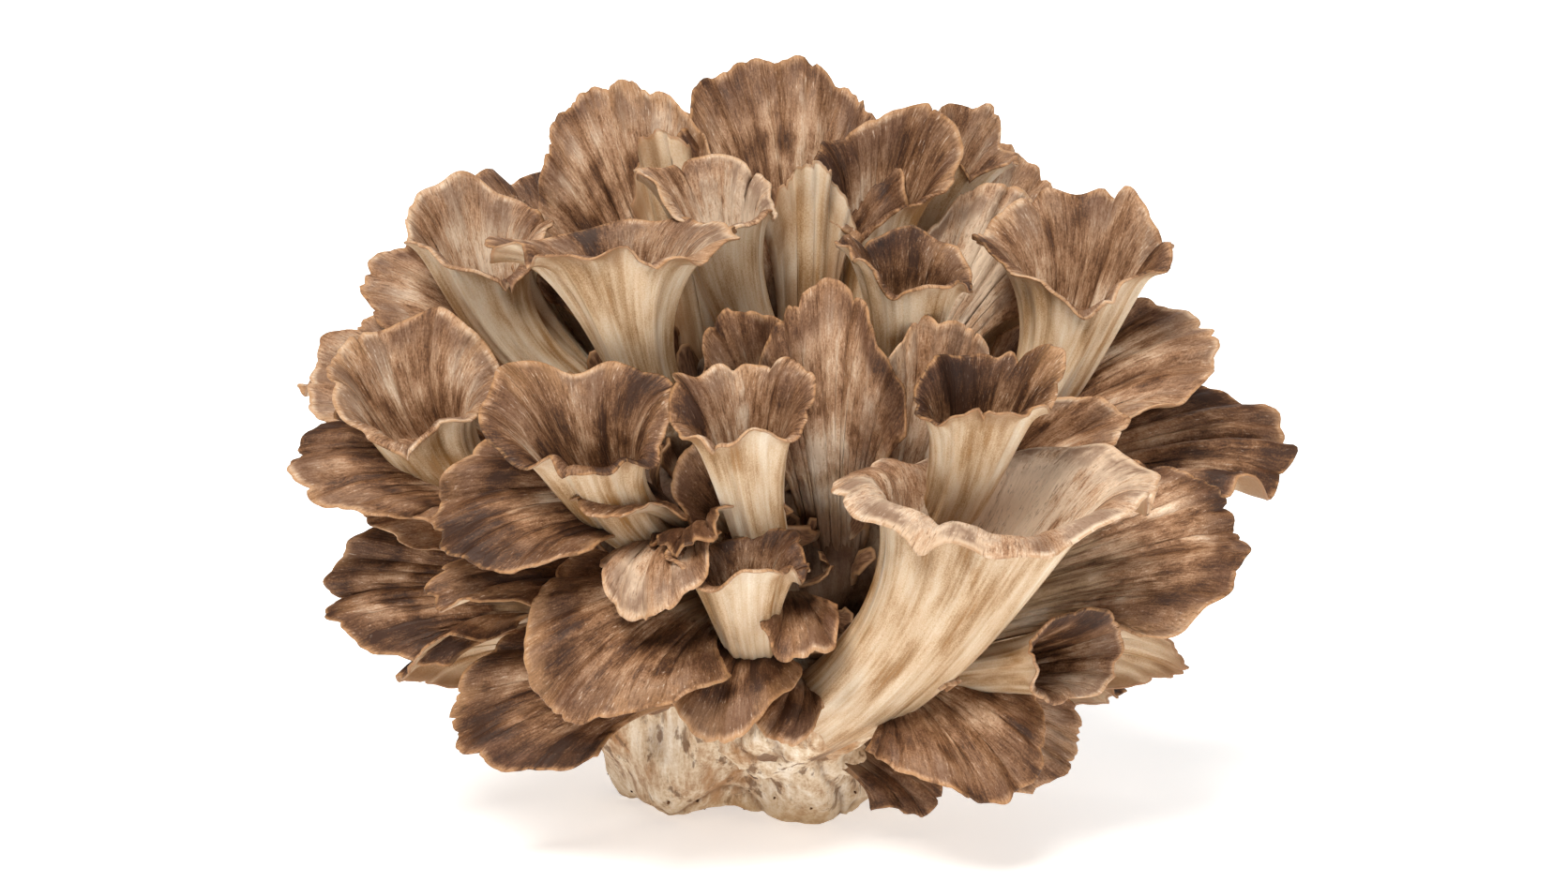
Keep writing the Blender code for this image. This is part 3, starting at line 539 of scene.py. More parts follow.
class Shell:
    """Points, faces and finishes of one closed piece, gathered before it becomes a mesh."""

    def __init__(self):
        self.points, self.edges, self.grains, self.shares = [], [], [], []
        self.faces, self.finish = [], []

    def add(self, points, edge, grain, share=1.0):
        """Adds points and gives the number of the first of them."""
        first = sum(len(p) for p in self.points)
        self.points.append(np.reshape(points, (-1, 3)))
        self.edges.append(np.reshape(np.broadcast_to(edge, self.points[-1].shape[:1]), -1))
        self.grains.append(np.reshape(np.broadcast_to(grain, self.points[-1].shape), (-1, 3)))
        self.shares.append(np.reshape(np.broadcast_to(share, self.points[-1].shape[:1]), -1))
        return first

    def quads(self, a, b, c, d, finish):
        """Adds a face for each place in four lists of point numbers. -1 stands for no corner there."""
        found = np.stack([np.ravel(q) for q in (a, b, c, d)], axis=1)
        self.faces.append(found)
        self.finish.append(np.full(len(found), finish))


def rim_bead(top, under):
    """The middle of a rounded rim: between both faces, and a little proud of them."""
    middle = (top[:, -1] + under[:, -1]) / 2
    out = unit(middle - (top[:, -2] + under[:, -2]) / 2)
    thick = np.linalg.norm(top[:, -1] - under[:, -1], axis=1, keepdims=True)
    return middle + out * thick * 0.45


BROWN, CREAM = 0, 1


def fan_shell(f, across, along):
    """A closed fan: a brown face, a cream face and a rounded edge all the way round."""
    top, under, edge, grain = fan_skins(f, across, along)
    shell = Shell()
    wide, long = across + 1, along + 1
    share = np.tile(np.interp(rows_along(along), (0, 0.1 + f.neck, 1), (0, 0.55, 1)), wide)
    first_top = shell.add(top, edge.ravel(), grain.reshape(-1, 3), share)
    first_under = shell.add(under, edge.ravel(), grain.reshape(-1, 3), share)
    at = np.arange(wide * long).reshape(wide, long)
    a, b, c, d = at[:-1, :-1], at[1:, :-1], at[1:, 1:], at[:-1, 1:]
    shell.quads(first_top + a, first_top + b, first_top + c, first_top + d, BROWN)
    shell.quads(first_under + a, first_under + d, first_under + c, first_under + b, CREAM)
    # The rounded edge: up one side, along the rim and down the other, then the hidden root
    loop = np.concatenate([at[:, 0], at[-1, 1:], at[-2::-1, -1], at[0, -2:0:-1]])
    upper, lower = top.reshape(-1, 3)[loop], under.reshape(-1, 3)[loop]
    middle = (upper + lower) / 2
    fore, aft = np.roll(middle, -1, axis=0), np.roll(middle, 1, axis=0)
    out = unit(np.cross(fore - aft, upper - lower))
    thick = np.linalg.norm(upper - lower, axis=1, keepdims=True)
    bead = middle + out * np.minimum(thick * RIM_ROUNDNESS, RIM_BEAD)
    first_bead = shell.add(bead, edge.ravel()[loop], grain.reshape(-1, 3)[loop], share[loop])
    k = np.arange(len(loop))
    n = np.roll(k, -1)
    shell.quads(first_top + loop[k], first_bead + k, first_bead + n, first_top + loop[n], BROWN)
    shell.quads(first_bead + k, first_under + loop[k], first_under + loop[n], first_bead + n, CREAM)
    return shell


def funnel_shell(f, around, along):
    """A closed funnel: cream outside, brown inside as far down as its throat, and a rounded rim."""
    outer, inner, edge, grain, throat = funnel_skins(f, around, along)
    shell = Shell()
    long = along + 1
    first = int(np.argmax(rows_along(along) >= THROAT))
    first_out = shell.add(outer, edge.ravel(), grain.reshape(-1, 3))
    first_in = shell.add(inner, edge.ravel(), grain.reshape(-1, 3))
    bead = shell.add(rim_bead(outer, inner), 0.0, grain[:, -1])
    at = np.arange(around * long).reshape(around, long)
    nxt = np.roll(at, -1, axis=0)
    a, b, c, d = at[:, :-1], nxt[:, :-1], nxt[:, 1:], at[:, 1:]
    shell.quads(first_out + a, first_out + b, first_out + c, first_out + d, CREAM)
    a, b, c, d = a[:, first:], b[:, first:], c[:, first:], d[:, first:]
    shell.quads(first_in + a, first_in + d, first_in + c, first_in + b, BROWN)
    k = np.arange(around)
    n = np.roll(k, -1)
    shell.quads(first_out + at[:, -1], first_out + nxt[:, -1], bead + n, bead + k, CREAM)
    shell.quads(bead + k, bead + n, first_in + nxt[:, -1], first_in + at[:, -1], BROWN)
    # The throat and the root each end in one point, which is given as far from the rim
    deep_in = shell.add(np.array([throat]), 40.0, np.array([[0, 0, THROAT]]))
    below = shell.add(np.array([f.root], float), 60.0, np.array([[0, 0, 0]]))
    throat_ring, root_ring = first_in + at[:, first], first_out + at[:, 0]
    shell.quads(throat_ring, np.roll(throat_ring, -1), np.full(around, deep_in), np.full(around, -1), BROWN)
    shell.quads(root_ring, np.full(around, below), np.full(around, -1), np.roll(root_ring, -1), CREAM)
    return shell


def out_of_core(points):
    """How many mm the points (in mm) stand out of the core's side, less than 0 inside it."""
    x, y, z = points[:, 0], points[:, 1], points[:, 2]
    share = np.clip(z / CORE_TOP, 0, 1)
    half = np.interp(z, [*CORE_HEIGHTS, CORE_TOP], [*CORE_HALF_WIDTHS, 6])
    away = np.hypot(x - CORE_LEAN[0] * share, (y - CORE_LEAN[1] * share) / CORE_DEPTH_SHARE)
    return np.where(z > CORE_TOP - 12, np.maximum(away - half, z - CORE_TOP), away - half)


def put(name, data):
    """A new object in the scene."""
    obj = bpy.data.objects.new(name, data)
    bpy.context.scene.collection.objects.link(obj)
    return obj


def keep(mesh, **facts):
    """Keeps facts of every point on the mesh, a number or a vector each, for the finishes to read."""
    for name, values in facts.items():
        kind, field = ("FLOAT", "value") if values.ndim == 1 else ("FLOAT_VECTOR", "vector")
        fact = mesh.attributes.new(name, kind, "POINT")
        fact.data.foreach_set(field, np.ravel(values).astype(np.float32))


def shell_object(name, shell, finishes, pale):
    """A mesh object from a shell, with the facts that its finishes read: see frond_facts."""
    points = np.concatenate(shell.points) * MM
    faces = [tuple(int(i) for i in face if i >= 0) for block in shell.faces for face in block]
    used = np.zeros(len(points), bool)
    used[[i for face in faces for i in face]] = True
    place = np.cumsum(used) - 1
    faces = [tuple(int(place[i]) for i in face) for face in faces]
    mesh = bpy.data.meshes.new(name)
    mesh.from_pydata(points[used].tolist(), [], faces)
    mesh.polygons.foreach_set("material_index", np.concatenate(shell.finish).astype(np.int32))
    mesh.polygons.foreach_set("use_smooth", np.ones(len(faces), bool))
    keep(
        mesh,
        edge=np.concatenate(shell.edges)[used],
        grain=np.concatenate(shell.grains)[used],
        away=out_of_core(points[used] / MM),
        share=np.concatenate(shell.shares)[used],
        pale=np.full(int(used.sum()), pale),
    )
    for finish in finishes:
        mesh.materials.append(finish)
    mesh.validate()
    return put(name, mesh)


def stand_in(obj):
    """Says that a piece rides on the one body and stands for the CAD node."""
    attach(obj, BODY)
    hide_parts(NODE)


def grow_frond(f, finishes):
    """One frond as a piece of its own, with its size's number of facets."""
    share = FINE * (REAR_THINNING if f.name.startswith("rear") else 1.0)
    grids = FAN_GRIDS if f.kind == "fan" else TRUMPET_GRIDS
    across, along = (max(8, round(n * share)) for n in grids[f.size])
    shell = fan_shell(f, across, along) if f.kind == "fan" else funnel_shell(f, across, along)
    pale = PALENESS.get(f.name, chance(f.name + " pale").uniform(0.15, 0.55))
    obj = shell_object(f"frond_{f.name}", shell, finishes, pale)
    stand_in(obj)
    return obj


# ---------------------------------------------------------------- the trunk


def core_ring(z, sides):
    """One level ring of the core in mm, lumpy, with two blunt toes low down."""
    share = z / CORE_TOP
    half = float(np.interp(z, CORE_HEIGHTS, CORE_HALF_WIDTHS))
    toes = 0.16 * max(0.0, 1 - z / 30)
    ring = []
    for k in range(sides):
        a = 2 * math.pi * k / sides
        lump = 0.07 * math.sin(5 * a + 9 * share) + 0.05 * math.sin(8 * a - 14 * share + 1)
        r = half * (1 + lump + toes * (math.cos(2 * a) - 0.3))
        x = r * math.cos(a) + CORE_LEAN[0] * share
        y = r * CORE_DEPTH_SHARE * math.sin(a) + CORE_LEAN[1] * share
        ring.append((x, y, z))
    return ring


def add_tube(shape, rings, bottom, top):
    """Adds a closed tube through rings of points, with a pole at each end, to a bmesh."""
    made = [[shape.verts.new(Vector(p) * MM) for p in ring] for ring in rings]
    for low, high in zip(made, made[1:]):
        for k in range(len(low)):
            n = (k + 1) % len(low)
            shape.faces.new((low[k], low[n], high[n], high[k]))
    for ring, pole, turned in ((made[0], bottom, True), (made[-1], top, False)):
        tip = shape.verts.new(Vector(pole) * MM)
        for k in range(len(ring)):
            n = (k + 1) % len(ring)
            shape.faces.new((ring[n], ring[k], tip) if turned else (ring[k], ring[n], tip))


def stalk_rings(f):
    """Rings round the lower part of a frond, proud of it at the root and sinking into it higher up."""
    sides = STALK_SIDES[f.kind]
    if f.kind == "fan":
        top, under = fan_skins(f, sides, STALK_ROWS)[:2]
        rows = np.concatenate([top, under[::-1]])
    else:
        rows = funnel_skins(f, sides, STALK_ROWS)[0]
    rings = []
    for j, share in enumerate(rows_along(STALK_ROWS)):
        if share > STALK_SHOWN:
            break
        ring = rows[:, j]
        middle = ring.mean(axis=0)
        out = ring - middle
        far = np.maximum(np.linalg.norm(out, axis=1, keepdims=True), 1e-6)
        pad = STALK_PAD - STALK_SINK * (share / STALK_SHOWN) ** 1.2
        rings.append((middle + out / far * np.maximum(far + pad, 0.4)).tolist())
    return rings


def trunk(fronds, finish):
    """The foot, the core that the stalks crowd round and the roots of all stalks, melted into one skin of
    flesh.
    """
    shape = bmesh.new()
    core = [core_ring(float(z), TRUNK_SIDES) for z in np.linspace(0, CORE_HEIGHTS[-1], TRUNK_ROWS)]
    add_tube(shape, core, (0, 0, 0), (*CORE_LEAN, CORE_TOP))
    for f in fronds:
        rings = stalk_rings(f)
        add_tube(shape, rings, np.mean(rings[0], axis=0), np.mean(rings[-1], axis=0))
    bmesh.ops.recalc_face_normals(shape, faces=shape.faces[:])
    mesh = bpy.data.meshes.new("trunk")
    shape.to_mesh(mesh)
    shape.free()
    obj = put("trunk", mesh)
    melt = obj.modifiers.new("melt", "REMESH")
    melt.mode, melt.voxel_size = "VOXEL", TRUNK_VOXEL * MM / (FINE**0.5)
    ease = obj.modifiers.new("ease", "SMOOTH")
    ease.factor, ease.iterations = 0.5, 5
    melted = bpy.data.meshes.new_from_object(obj.evaluated_get(bpy.context.evaluated_depsgraph_get()))
    obj.modifiers.clear()
    obj.data = melted
    carve(melted)
    melted.materials.clear()
    melted.materials.append(finish)
    melted.polygons.foreach_set("use_smooth", np.ones(len(melted.polygons), bool))
    stand_in(obj)
    return obj


def carve(mesh):
    """Lumps, folds and pits on the trunk's skin, with a flat foot and the arch between its two toes."""
    count = len(mesh.vertices)
    points, normals = np.empty(count * 3), np.empty(count * 3)
    mesh.vertices.foreach_get("co", points)
    mesh.vertices.foreach_get("normal", normals)
    points, normals = points.reshape(-1, 3) / MM, normals.reshape(-1, 3)
    moved = np.zeros(count)
    sunk = np.zeros(count)
    for i, (x, y, z) in enumerate(points):
        low = max(0.0, 1 - z / 55)
        p = Vector((x, y, z * 0.7))
        lump = noise.noise(p / 19) * (0.8 + 3.4 * low)
        lump += noise.noise(p / 6.5 + Vector((9, 0, 0))) * (0.25 + 0.6 * low)
        fine = noise.noise(p / 2.2 + Vector((0, 7, 0))) * (0.12 + 0.16 * low)
        pit = max(0.0, noise.noise(p / 11 + Vector((0, 0, 31))) - 0.30) * (1.5 + 8 * low)
        fold = min(1.0, 2.6 * abs(noise.noise(Vector((x / 24, y / 24, z / 60 + 4))))) ** 0.5
        grooved = noise.noise(Vector((x / 3.2, y / 3.2, z / 30 + 8))) * 0.5
        moved[i] = lump + fine + grooved - pit - 2.0 * (1 - fold) * (0.4 + low)
        sunk[i] = min(1.0, pit / 2.5 + 0.8 * (1 - fold) ** 2)
    points = points + normals * moved[:, None]
    arch = 5.0 * np.exp(-(((points[:, 0] + 10) / 9) ** 2)) * np.clip(1 - points[:, 2] / 14, 0, 1)
    points[:, 2] = np.maximum(points[:, 2] + arch, 0)
    mesh.vertices.foreach_set("co", np.ravel(points * MM))
    mesh.update()
    keep(mesh, hollow=sunk, away=out_of_core(points))


# ---------------------------------------------------------------- finishes


def colour(code):
    """An sRGB hex colour as the linear RGBA that shaders take."""
    parts = [int(code[k : k + 2], 16) / 255 for k in (1, 3, 5)]
    linear = [c / 12.92 if c <= 0.04045 else ((c + 0.055) / 1.055) ** 2.4 for c in parts]
    return (*linear, 1.0)


def add(tree, kind, inputs=None, **settings):
    """Adds a node with its settings. An input's value is a number, a colour or another node's socket."""
    made = tree.nodes.new(kind)
    for name, value in settings.items():
        setattr(made, name, value)
    for socket, value in (inputs or {}).items():
        if isinstance(value, bpy.types.NodeSocket):
            tree.links.new(value, made.inputs[socket])
        else:
            made.inputs[socket].default_value = value
    return made


def new_finish(name, **values):
    """A material with its nodes and its shader. values are the shader's inputs, with _ for a space."""
    made = bpy.data.materials.new(name)
    made.use_nodes = True
    shader = made.node_tree.nodes["Principled BSDF"]
    for label, value in values.items():
        shader.inputs[label.replace("_", " ")].default_value = value
    return made, made.node_tree, shader


def blend(tree, factor, first, second, kind="MIX"):
    made = add(tree, "ShaderNodeMix", {0: factor, 6: first, 7: second}, data_type="RGBA", blend_type=kind)
    return made.outputs[2]


def reckon(tree, operation, first, second=0.0):
    made = add(tree, "ShaderNodeMath", {0: first, 1: second}, operation=operation)
    return made.outputs[0]


def between(tree, value, low, high, first=0.0, last=1.0):
    """Smoothly from first to last as value goes from low to high."""
    made = add(
        tree,
        "ShaderNodeMapRange",
        {"Value": value, "From Min": low, "From Max": high, "To Min": first, "To Max": last},
        interpolation_type="SMOOTHSTEP",
    )
    return made.outputs[0]


def mottle(tree, vector, sizes, detail=4.0, rough=0.6):
    """Noise whose patches measure sizes mm along the vector's three axes."""
    scaled = add(tree, "ShaderNodeMapping", {"Vector": vector, "Scale": tuple(1 / s for s in sizes)})
    inputs = {"Vector": scaled.outputs[0], "Scale": 1.0, "Detail": detail, "Roughness": rough}
    return add(tree, "ShaderNodeTexNoise", inputs).outputs["Fac"]


def ramp(tree, value, stops):
    made = add(tree, "ShaderNodeValToRGB", {0: value})
    while len(made.color_ramp.elements) < len(stops):
        made.color_ramp.elements.new(0.5)
    for element, (place, code) in zip(made.color_ramp.elements, stops):
        element.position, element.color = place, colour(code)
    return made.outputs[0]


def bumps(tree, shader, heights):
    """Stacks bumps, each a height from 0 to 1 and how many mm it stands."""
    normal = None
    for height, tall in heights:
        inputs = {"Height": height, "Distance": tall * MM, "Strength": 1.0}
        if normal is not None:
            inputs["Normal"] = normal
        normal = add(tree, "ShaderNodeBump", inputs).outputs[0]
    tree.links.new(normal, shader.inputs["Normal"])


def fact(tree, name, output="Fac"):
    """What keep() left on the mesh under this name."""
    return add(tree, "ShaderNodeAttribute", attribute_name=name).outputs[output]


def frond_facts(tree, *names):
    """What a mesh tells its finishes: grain, in mm across and along the fibres, then the facts named. edge is
    mm from the rim, away is mm out of the core, pale is how bleached the frond is, and share is how far
    along the frond the point lies."""
    return fact(tree, "grain", "Vector"), *(fact(tree, name) for name in names)


def place_in_mm(tree):
    """Where the point lies in its object."""
    raw = add(tree, "ShaderNodeTexCoord").outputs["Object"]
    return add(tree, "ShaderNodeVectorMath", {0: raw, 3: 1 / MM}, operation="SCALE").outputs[0]


def weighed(tree, parts):
    """The sum of values, each times its weight."""
    total = None
    for value, weight in parts:
        part = reckon(tree, "MULTIPLY", value, weight)
        total = part if total is None else reckon(tree, "ADD", total, part)
    return total


def cap_skin():
    """Dry, felted cap skin: soft rays and clouds of lighter and darker brown, short fibres that run from
    stalk to rim, a smoky margin in uneven patches, and a thin, broken, tan line along the rim."""
    made, tree, shader = new_finish(
        "felted_cap_skin", Roughness=0.60, Specular_IOR_Level=0.30, Subsurface_Weight=0.06,
        Subsurface_Radius=(1.0, 0.5, 0.3), Subsurface_Scale=1.2 * MM,
    )
    grain, edge, away, pale, share = frond_facts(tree, "edge", "away", "pale", "share")
    clouds = mottle(tree, grain, (15, 15, 19), 2, 0.5)
    rays = mottle(tree, grain, (3.4, 3.4, 30), 3, 0.5)
    patches = mottle(tree, grain, (5.2, 5.2, 9.5), 4, 0.6)
    streaks = mottle(tree, grain, (1.1, 1.1, 13), 3, 0.6)
    fibres = mottle(tree, grain, (0.34, 0.34, 2.6), 3, 0.65)
    felt = mottle(tree, grain, (0.28, 0.28, 0.5), 2, 0.6)
    tone = weighed(
        tree,
        [
            (clouds, 0.30), (rays, 0.20), (patches, 0.19), (streaks, 0.11),
            (fibres, 0.11), (felt, 0.09), (pale, 0.16),
        ],
    )
    shades = [(0.482, "#3A200F"), (0.521, "#69462B"), (0.555, "#916B4D"), (0.594, "#B89577")]
    skin = ramp(tree, tone, [*shades, (0.65, "#DFC8AF")])
    # Ochre, where a margin starts to dry
    driest = between(tree, clouds, 0.50, 0.62, 0.0, 0.40)
    dry = reckon(tree, "MULTIPLY", between(tree, edge, 8.0, 0.5), driest)
    dried = blend(tree, dry, skin, colour("#A47C55"))
    # The smoky margin
    band = reckon(tree, "MULTIPLY", between(tree, edge, 0.3, 1.8), between(tree, edge, 3.0, 14.0, 1.0, 0.0))
    mixed = weighed(tree, [(patches, 0.55), (rays, 0.35), (streaks, 0.1)])
    uneven = between(tree, mixed, 0.43, 0.58, 0.1, 0.85)
    smoky = blend(tree, reckon(tree, "MULTIPLY", band, uneven), dried, colour("#8A7263"), "MULTIPLY")
    # Short dark fibres, and pale ones between them
    darker = between(tree, patches, 0.62, 0.42, 0.1, 0.5)
    dark = reckon(tree, "MULTIPLY", between(tree, fibres, 0.46, 0.34), darker)
    dashed = blend(tree, dark, smoky, colour("#49301F"))
    lighter = between(tree, clouds, 0.42, 0.58, 0.1, 0.55)
    lit = reckon(tree, "MULTIPLY", between(tree, fibres, 0.60, 0.73), lighter)
    fibrilled = blend(tree, lit, dashed, colour("#E2CFBC"))
    # The stalk, where the skin thins out to bare flesh
    thin = between(tree, reckon(tree, "ADD", share, reckon(tree, "MULTIPLY", streaks, 0.5)), 0.56, 0.80)
    flesh = ramp(tree, tone, [(0.45, "#A5825C"), (0.54, "#D2B593"), (0.64, "#EFE3D0")])
    skinned = blend(tree, thin, flesh, fibrilled)
    # Painted shade: darker towards the core, by how far out of it the point stands, where the gaps between
    # fronds lie in shadow
    gap_shaded = blend(tree, between(tree, away, 26.0, 2.0, 0.0, 0.90), skinned, colour("#6B4C33"), "MULTIPLY")
    # The rim
    broken = between(tree, weighed(tree, [(patches, 0.5), (streaks, 0.5)]), 0.44, 0.56, 0.1, 1.0)
    line = reckon(tree, "MULTIPLY", between(tree, edge, 0.7, 0.05, 0.0, 0.6), broken)
    rimmed = blend(tree, line, gap_shaded, colour("#AE8257"))
    tree.links.new(rimmed, shader.inputs["Base Color"])
    bumps(tree, shader, [(rays, 1.5), (patches, 0.6), (streaks, 0.32), (fibres, 0.10), (felt, 0.06)])
    return made


def pore_flesh():
    """The underside and the stalk: firm cream flesh that some light goes through, ribbed and streaked."""
    made, tree, shader = new_finish(
        "ribbed_cream_flesh", Roughness=0.52, Specular_IOR_Level=0.38, Subsurface_Weight=0.15,
        Subsurface_Radius=(1.0, 0.5, 0.28), Subsurface_Scale=2.0 * MM,
    )
    grain, edge, away = frond_facts(tree, "edge", "away")
    ribs = mottle(tree, grain, (0.9, 0.9, 48), 2, 0.5)
    streaks = mottle(tree, grain, (3.0, 3.0, 48), 3, 0.55)
    patches = mottle(tree, grain, (9, 9, 26), 3, 0.55)
    pores = mottle(tree, grain, (0.3, 0.3, 0.45), 2, 0.5)
    tone = weighed(tree, [(patches, 0.50), (streaks, 0.20), (ribs, 0.12), (pores, 0.18)])
    shades = [(0.39, "#86643F"), (0.45, "#AC8B66"), (0.505, "#C4A888"), (0.57, "#D1BCA1"), (0.66, "#E1D3BF")]
    flesh = ramp(tree, tone, shades)
    grooves = between(tree, ribs, 0.60, 0.40, 0.3, 0.9)
    tanned = reckon(tree, "MULTIPLY", between(tree, patches, 0.43, 0.31), grooves)
    bruised = blend(tree, reckon(tree, "MULTIPLY", tanned, 0.7), flesh, colour("#A1733F"))
    # Painted shade: the cream flesh darkens towards the core, where the gaps between fronds lie in shadow
    gap_shaded = blend(tree, between(tree, away, 24.0, 2.0, 0.0, 0.85), bruised, colour("#866548"), "MULTIPLY")
    smudges = between(tree, patches, 0.60, 0.40, 0.1, 0.8)
    smudged = reckon(tree, "MULTIPLY", between(tree, edge, 9.0, 1.0), smudges)
    near = blend(tree, smudged, gap_shaded, colour("#8F6B4A"))
    rimmed = blend(tree, between(tree, edge, 0.6, 0.1, 0.0, 0.7), near, colour("#8A6240"))
    tree.links.new(rimmed, shader.inputs["Base Color"])
    bumps(tree, shader, [(streaks, 0.22), (ribs, 0.14), (pores, 0.05)])
    return made


def trunk_flesh():
    """The cut foot and the stalks packed round the core: cream flesh, stained tan, with brown in its folds
    and pits, and painted shade between the stalks high up.
    """
    made, tree, shader = new_finish("stained_trunk_flesh", Roughness=0.6, Specular_IOR_Level=0.3)
    place = place_in_mm(tree)
    hollow, away = fact(tree, "hollow"), fact(tree, "away")
    height = add(tree, "ShaderNodeSeparateXYZ", {0: place}).outputs[2]
    stains = mottle(tree, place, (15, 15, 22), 4, 0.6)
    streaks = mottle(tree, place, (2.4, 2.4, 15), 4, 0.6)
    flecks = mottle(tree, place, (2.2, 2.2, 2.6), 4, 0.65)
    grit = mottle(tree, place, (0.7, 0.7, 0.8), 3, 0.6)
    tone = weighed(tree, [(stains, 0.40), (streaks, 0.42), (grit, 0.18)])
    shades = [(0.38, "#8E6C49"), (0.45, "#B8997A"), (0.52, "#D6C1A5"), (0.61, "#ECE0CF")]
    flesh = ramp(tree, tone, shades)
    smears = mottle(tree, place, (4.5, 4.5, 9), 4, 0.62)
    tanned = blend(tree, between(tree, stains, 0.47, 0.34, 0.0, 0.6), flesh, colour("#A9794A"))
    low = between(tree, height, 46.0, 26.0)
    smeared = reckon(tree, "MULTIPLY", between(tree, smears, 0.45, 0.36, 0.0, 0.8), low)
    stained = blend(tree, smeared, tanned, colour("#69482D"))
    # Painted shade: darker high on the trunk and close to the core's skin, in the gaps between the stalks
    high = reckon(tree, "MULTIPLY", between(tree, height, 44.0, 66.0), between(tree, away, 18.0, 0.0))
    gap_shaded = blend(tree, reckon(tree, "MULTIPLY", high, 0.95), stained, colour("#67503F"), "MULTIPLY")
    # Ochre towards the bottom of the foot, over its lowest 13 mm
    ochre_low = blend(tree, between(tree, height, 13.0, 0.5, 0.0, 0.6), gap_shaded, colour("#B08F60"))
    sunk = blend(tree, between(tree, hollow, 0.12, 0.75, 0.0, 0.75), ochre_low, colour("#6B4727"))
    spotted = blend(tree, between(tree, flecks, 0.62, 0.72, 0.0, 0.45), sunk, colour("#76543A"))
    tree.links.new(spotted, shader.inputs["Base Color"])
    bumps(tree, shader, [(streaks, 0.5), (flecks, 0.25), (grit, 0.12)])
    return made


def young_skin():
    """Young fronds that never got room: cream at the root, smooth dark brown above, with a pale lip."""
    made, tree, shader = new_finish("young_frond_skin", Roughness=0.5, Specular_IOR_Level=0.35)
    grain, edge = frond_facts(tree, "edge")
    streaks = mottle(tree, grain, (0.6, 0.6, 4), 3, 0.6)
    height = add(tree, "ShaderNodeSeparateXYZ", {0: grain}).outputs[2]
    brown = ramp(tree, streaks, [(0.3, "#4B3020"), (0.5, "#76543C"), (0.7, "#9A785C")])
    cream = ramp(tree, streaks, [(0.3, "#94745A"), (0.7, "#C4A98C")])
    grown = blend(tree, between(tree, height, 3.0, 7.0), cream, brown)
    rimmed = blend(tree, between(tree, edge, 0.6, 0.1, 0.0, 0.5), grown, colour("#B98E64"))
    tree.links.new(rimmed, shader.inputs["Base Color"])
    bumps(tree, shader, [(streaks, 0.2)])
    return made


def leaf_mould():
    """Crumbs of bark and soil still stuck in the foot: matt and very dark."""
    made, tree, shader = new_finish("leaf_mould", Roughness=0.9, Specular_IOR_Level=0.15)
    grains = mottle(tree, place_in_mm(tree), (0.8, 0.8, 0.8), 3, 0.6)
    tree.links.new(ramp(tree, grains, [(0.3, "#2C1D12"), (0.7, "#6B4A30")]), shader.inputs["Base Color"])
    bumps(tree, shader, [(grains, 0.2)])
    return made


# ---------------------------------------------------------------- young fronds and crumbs


MOST_PER_SQUARE_METRE = 60000.0  # far more than the spacing leaves room for


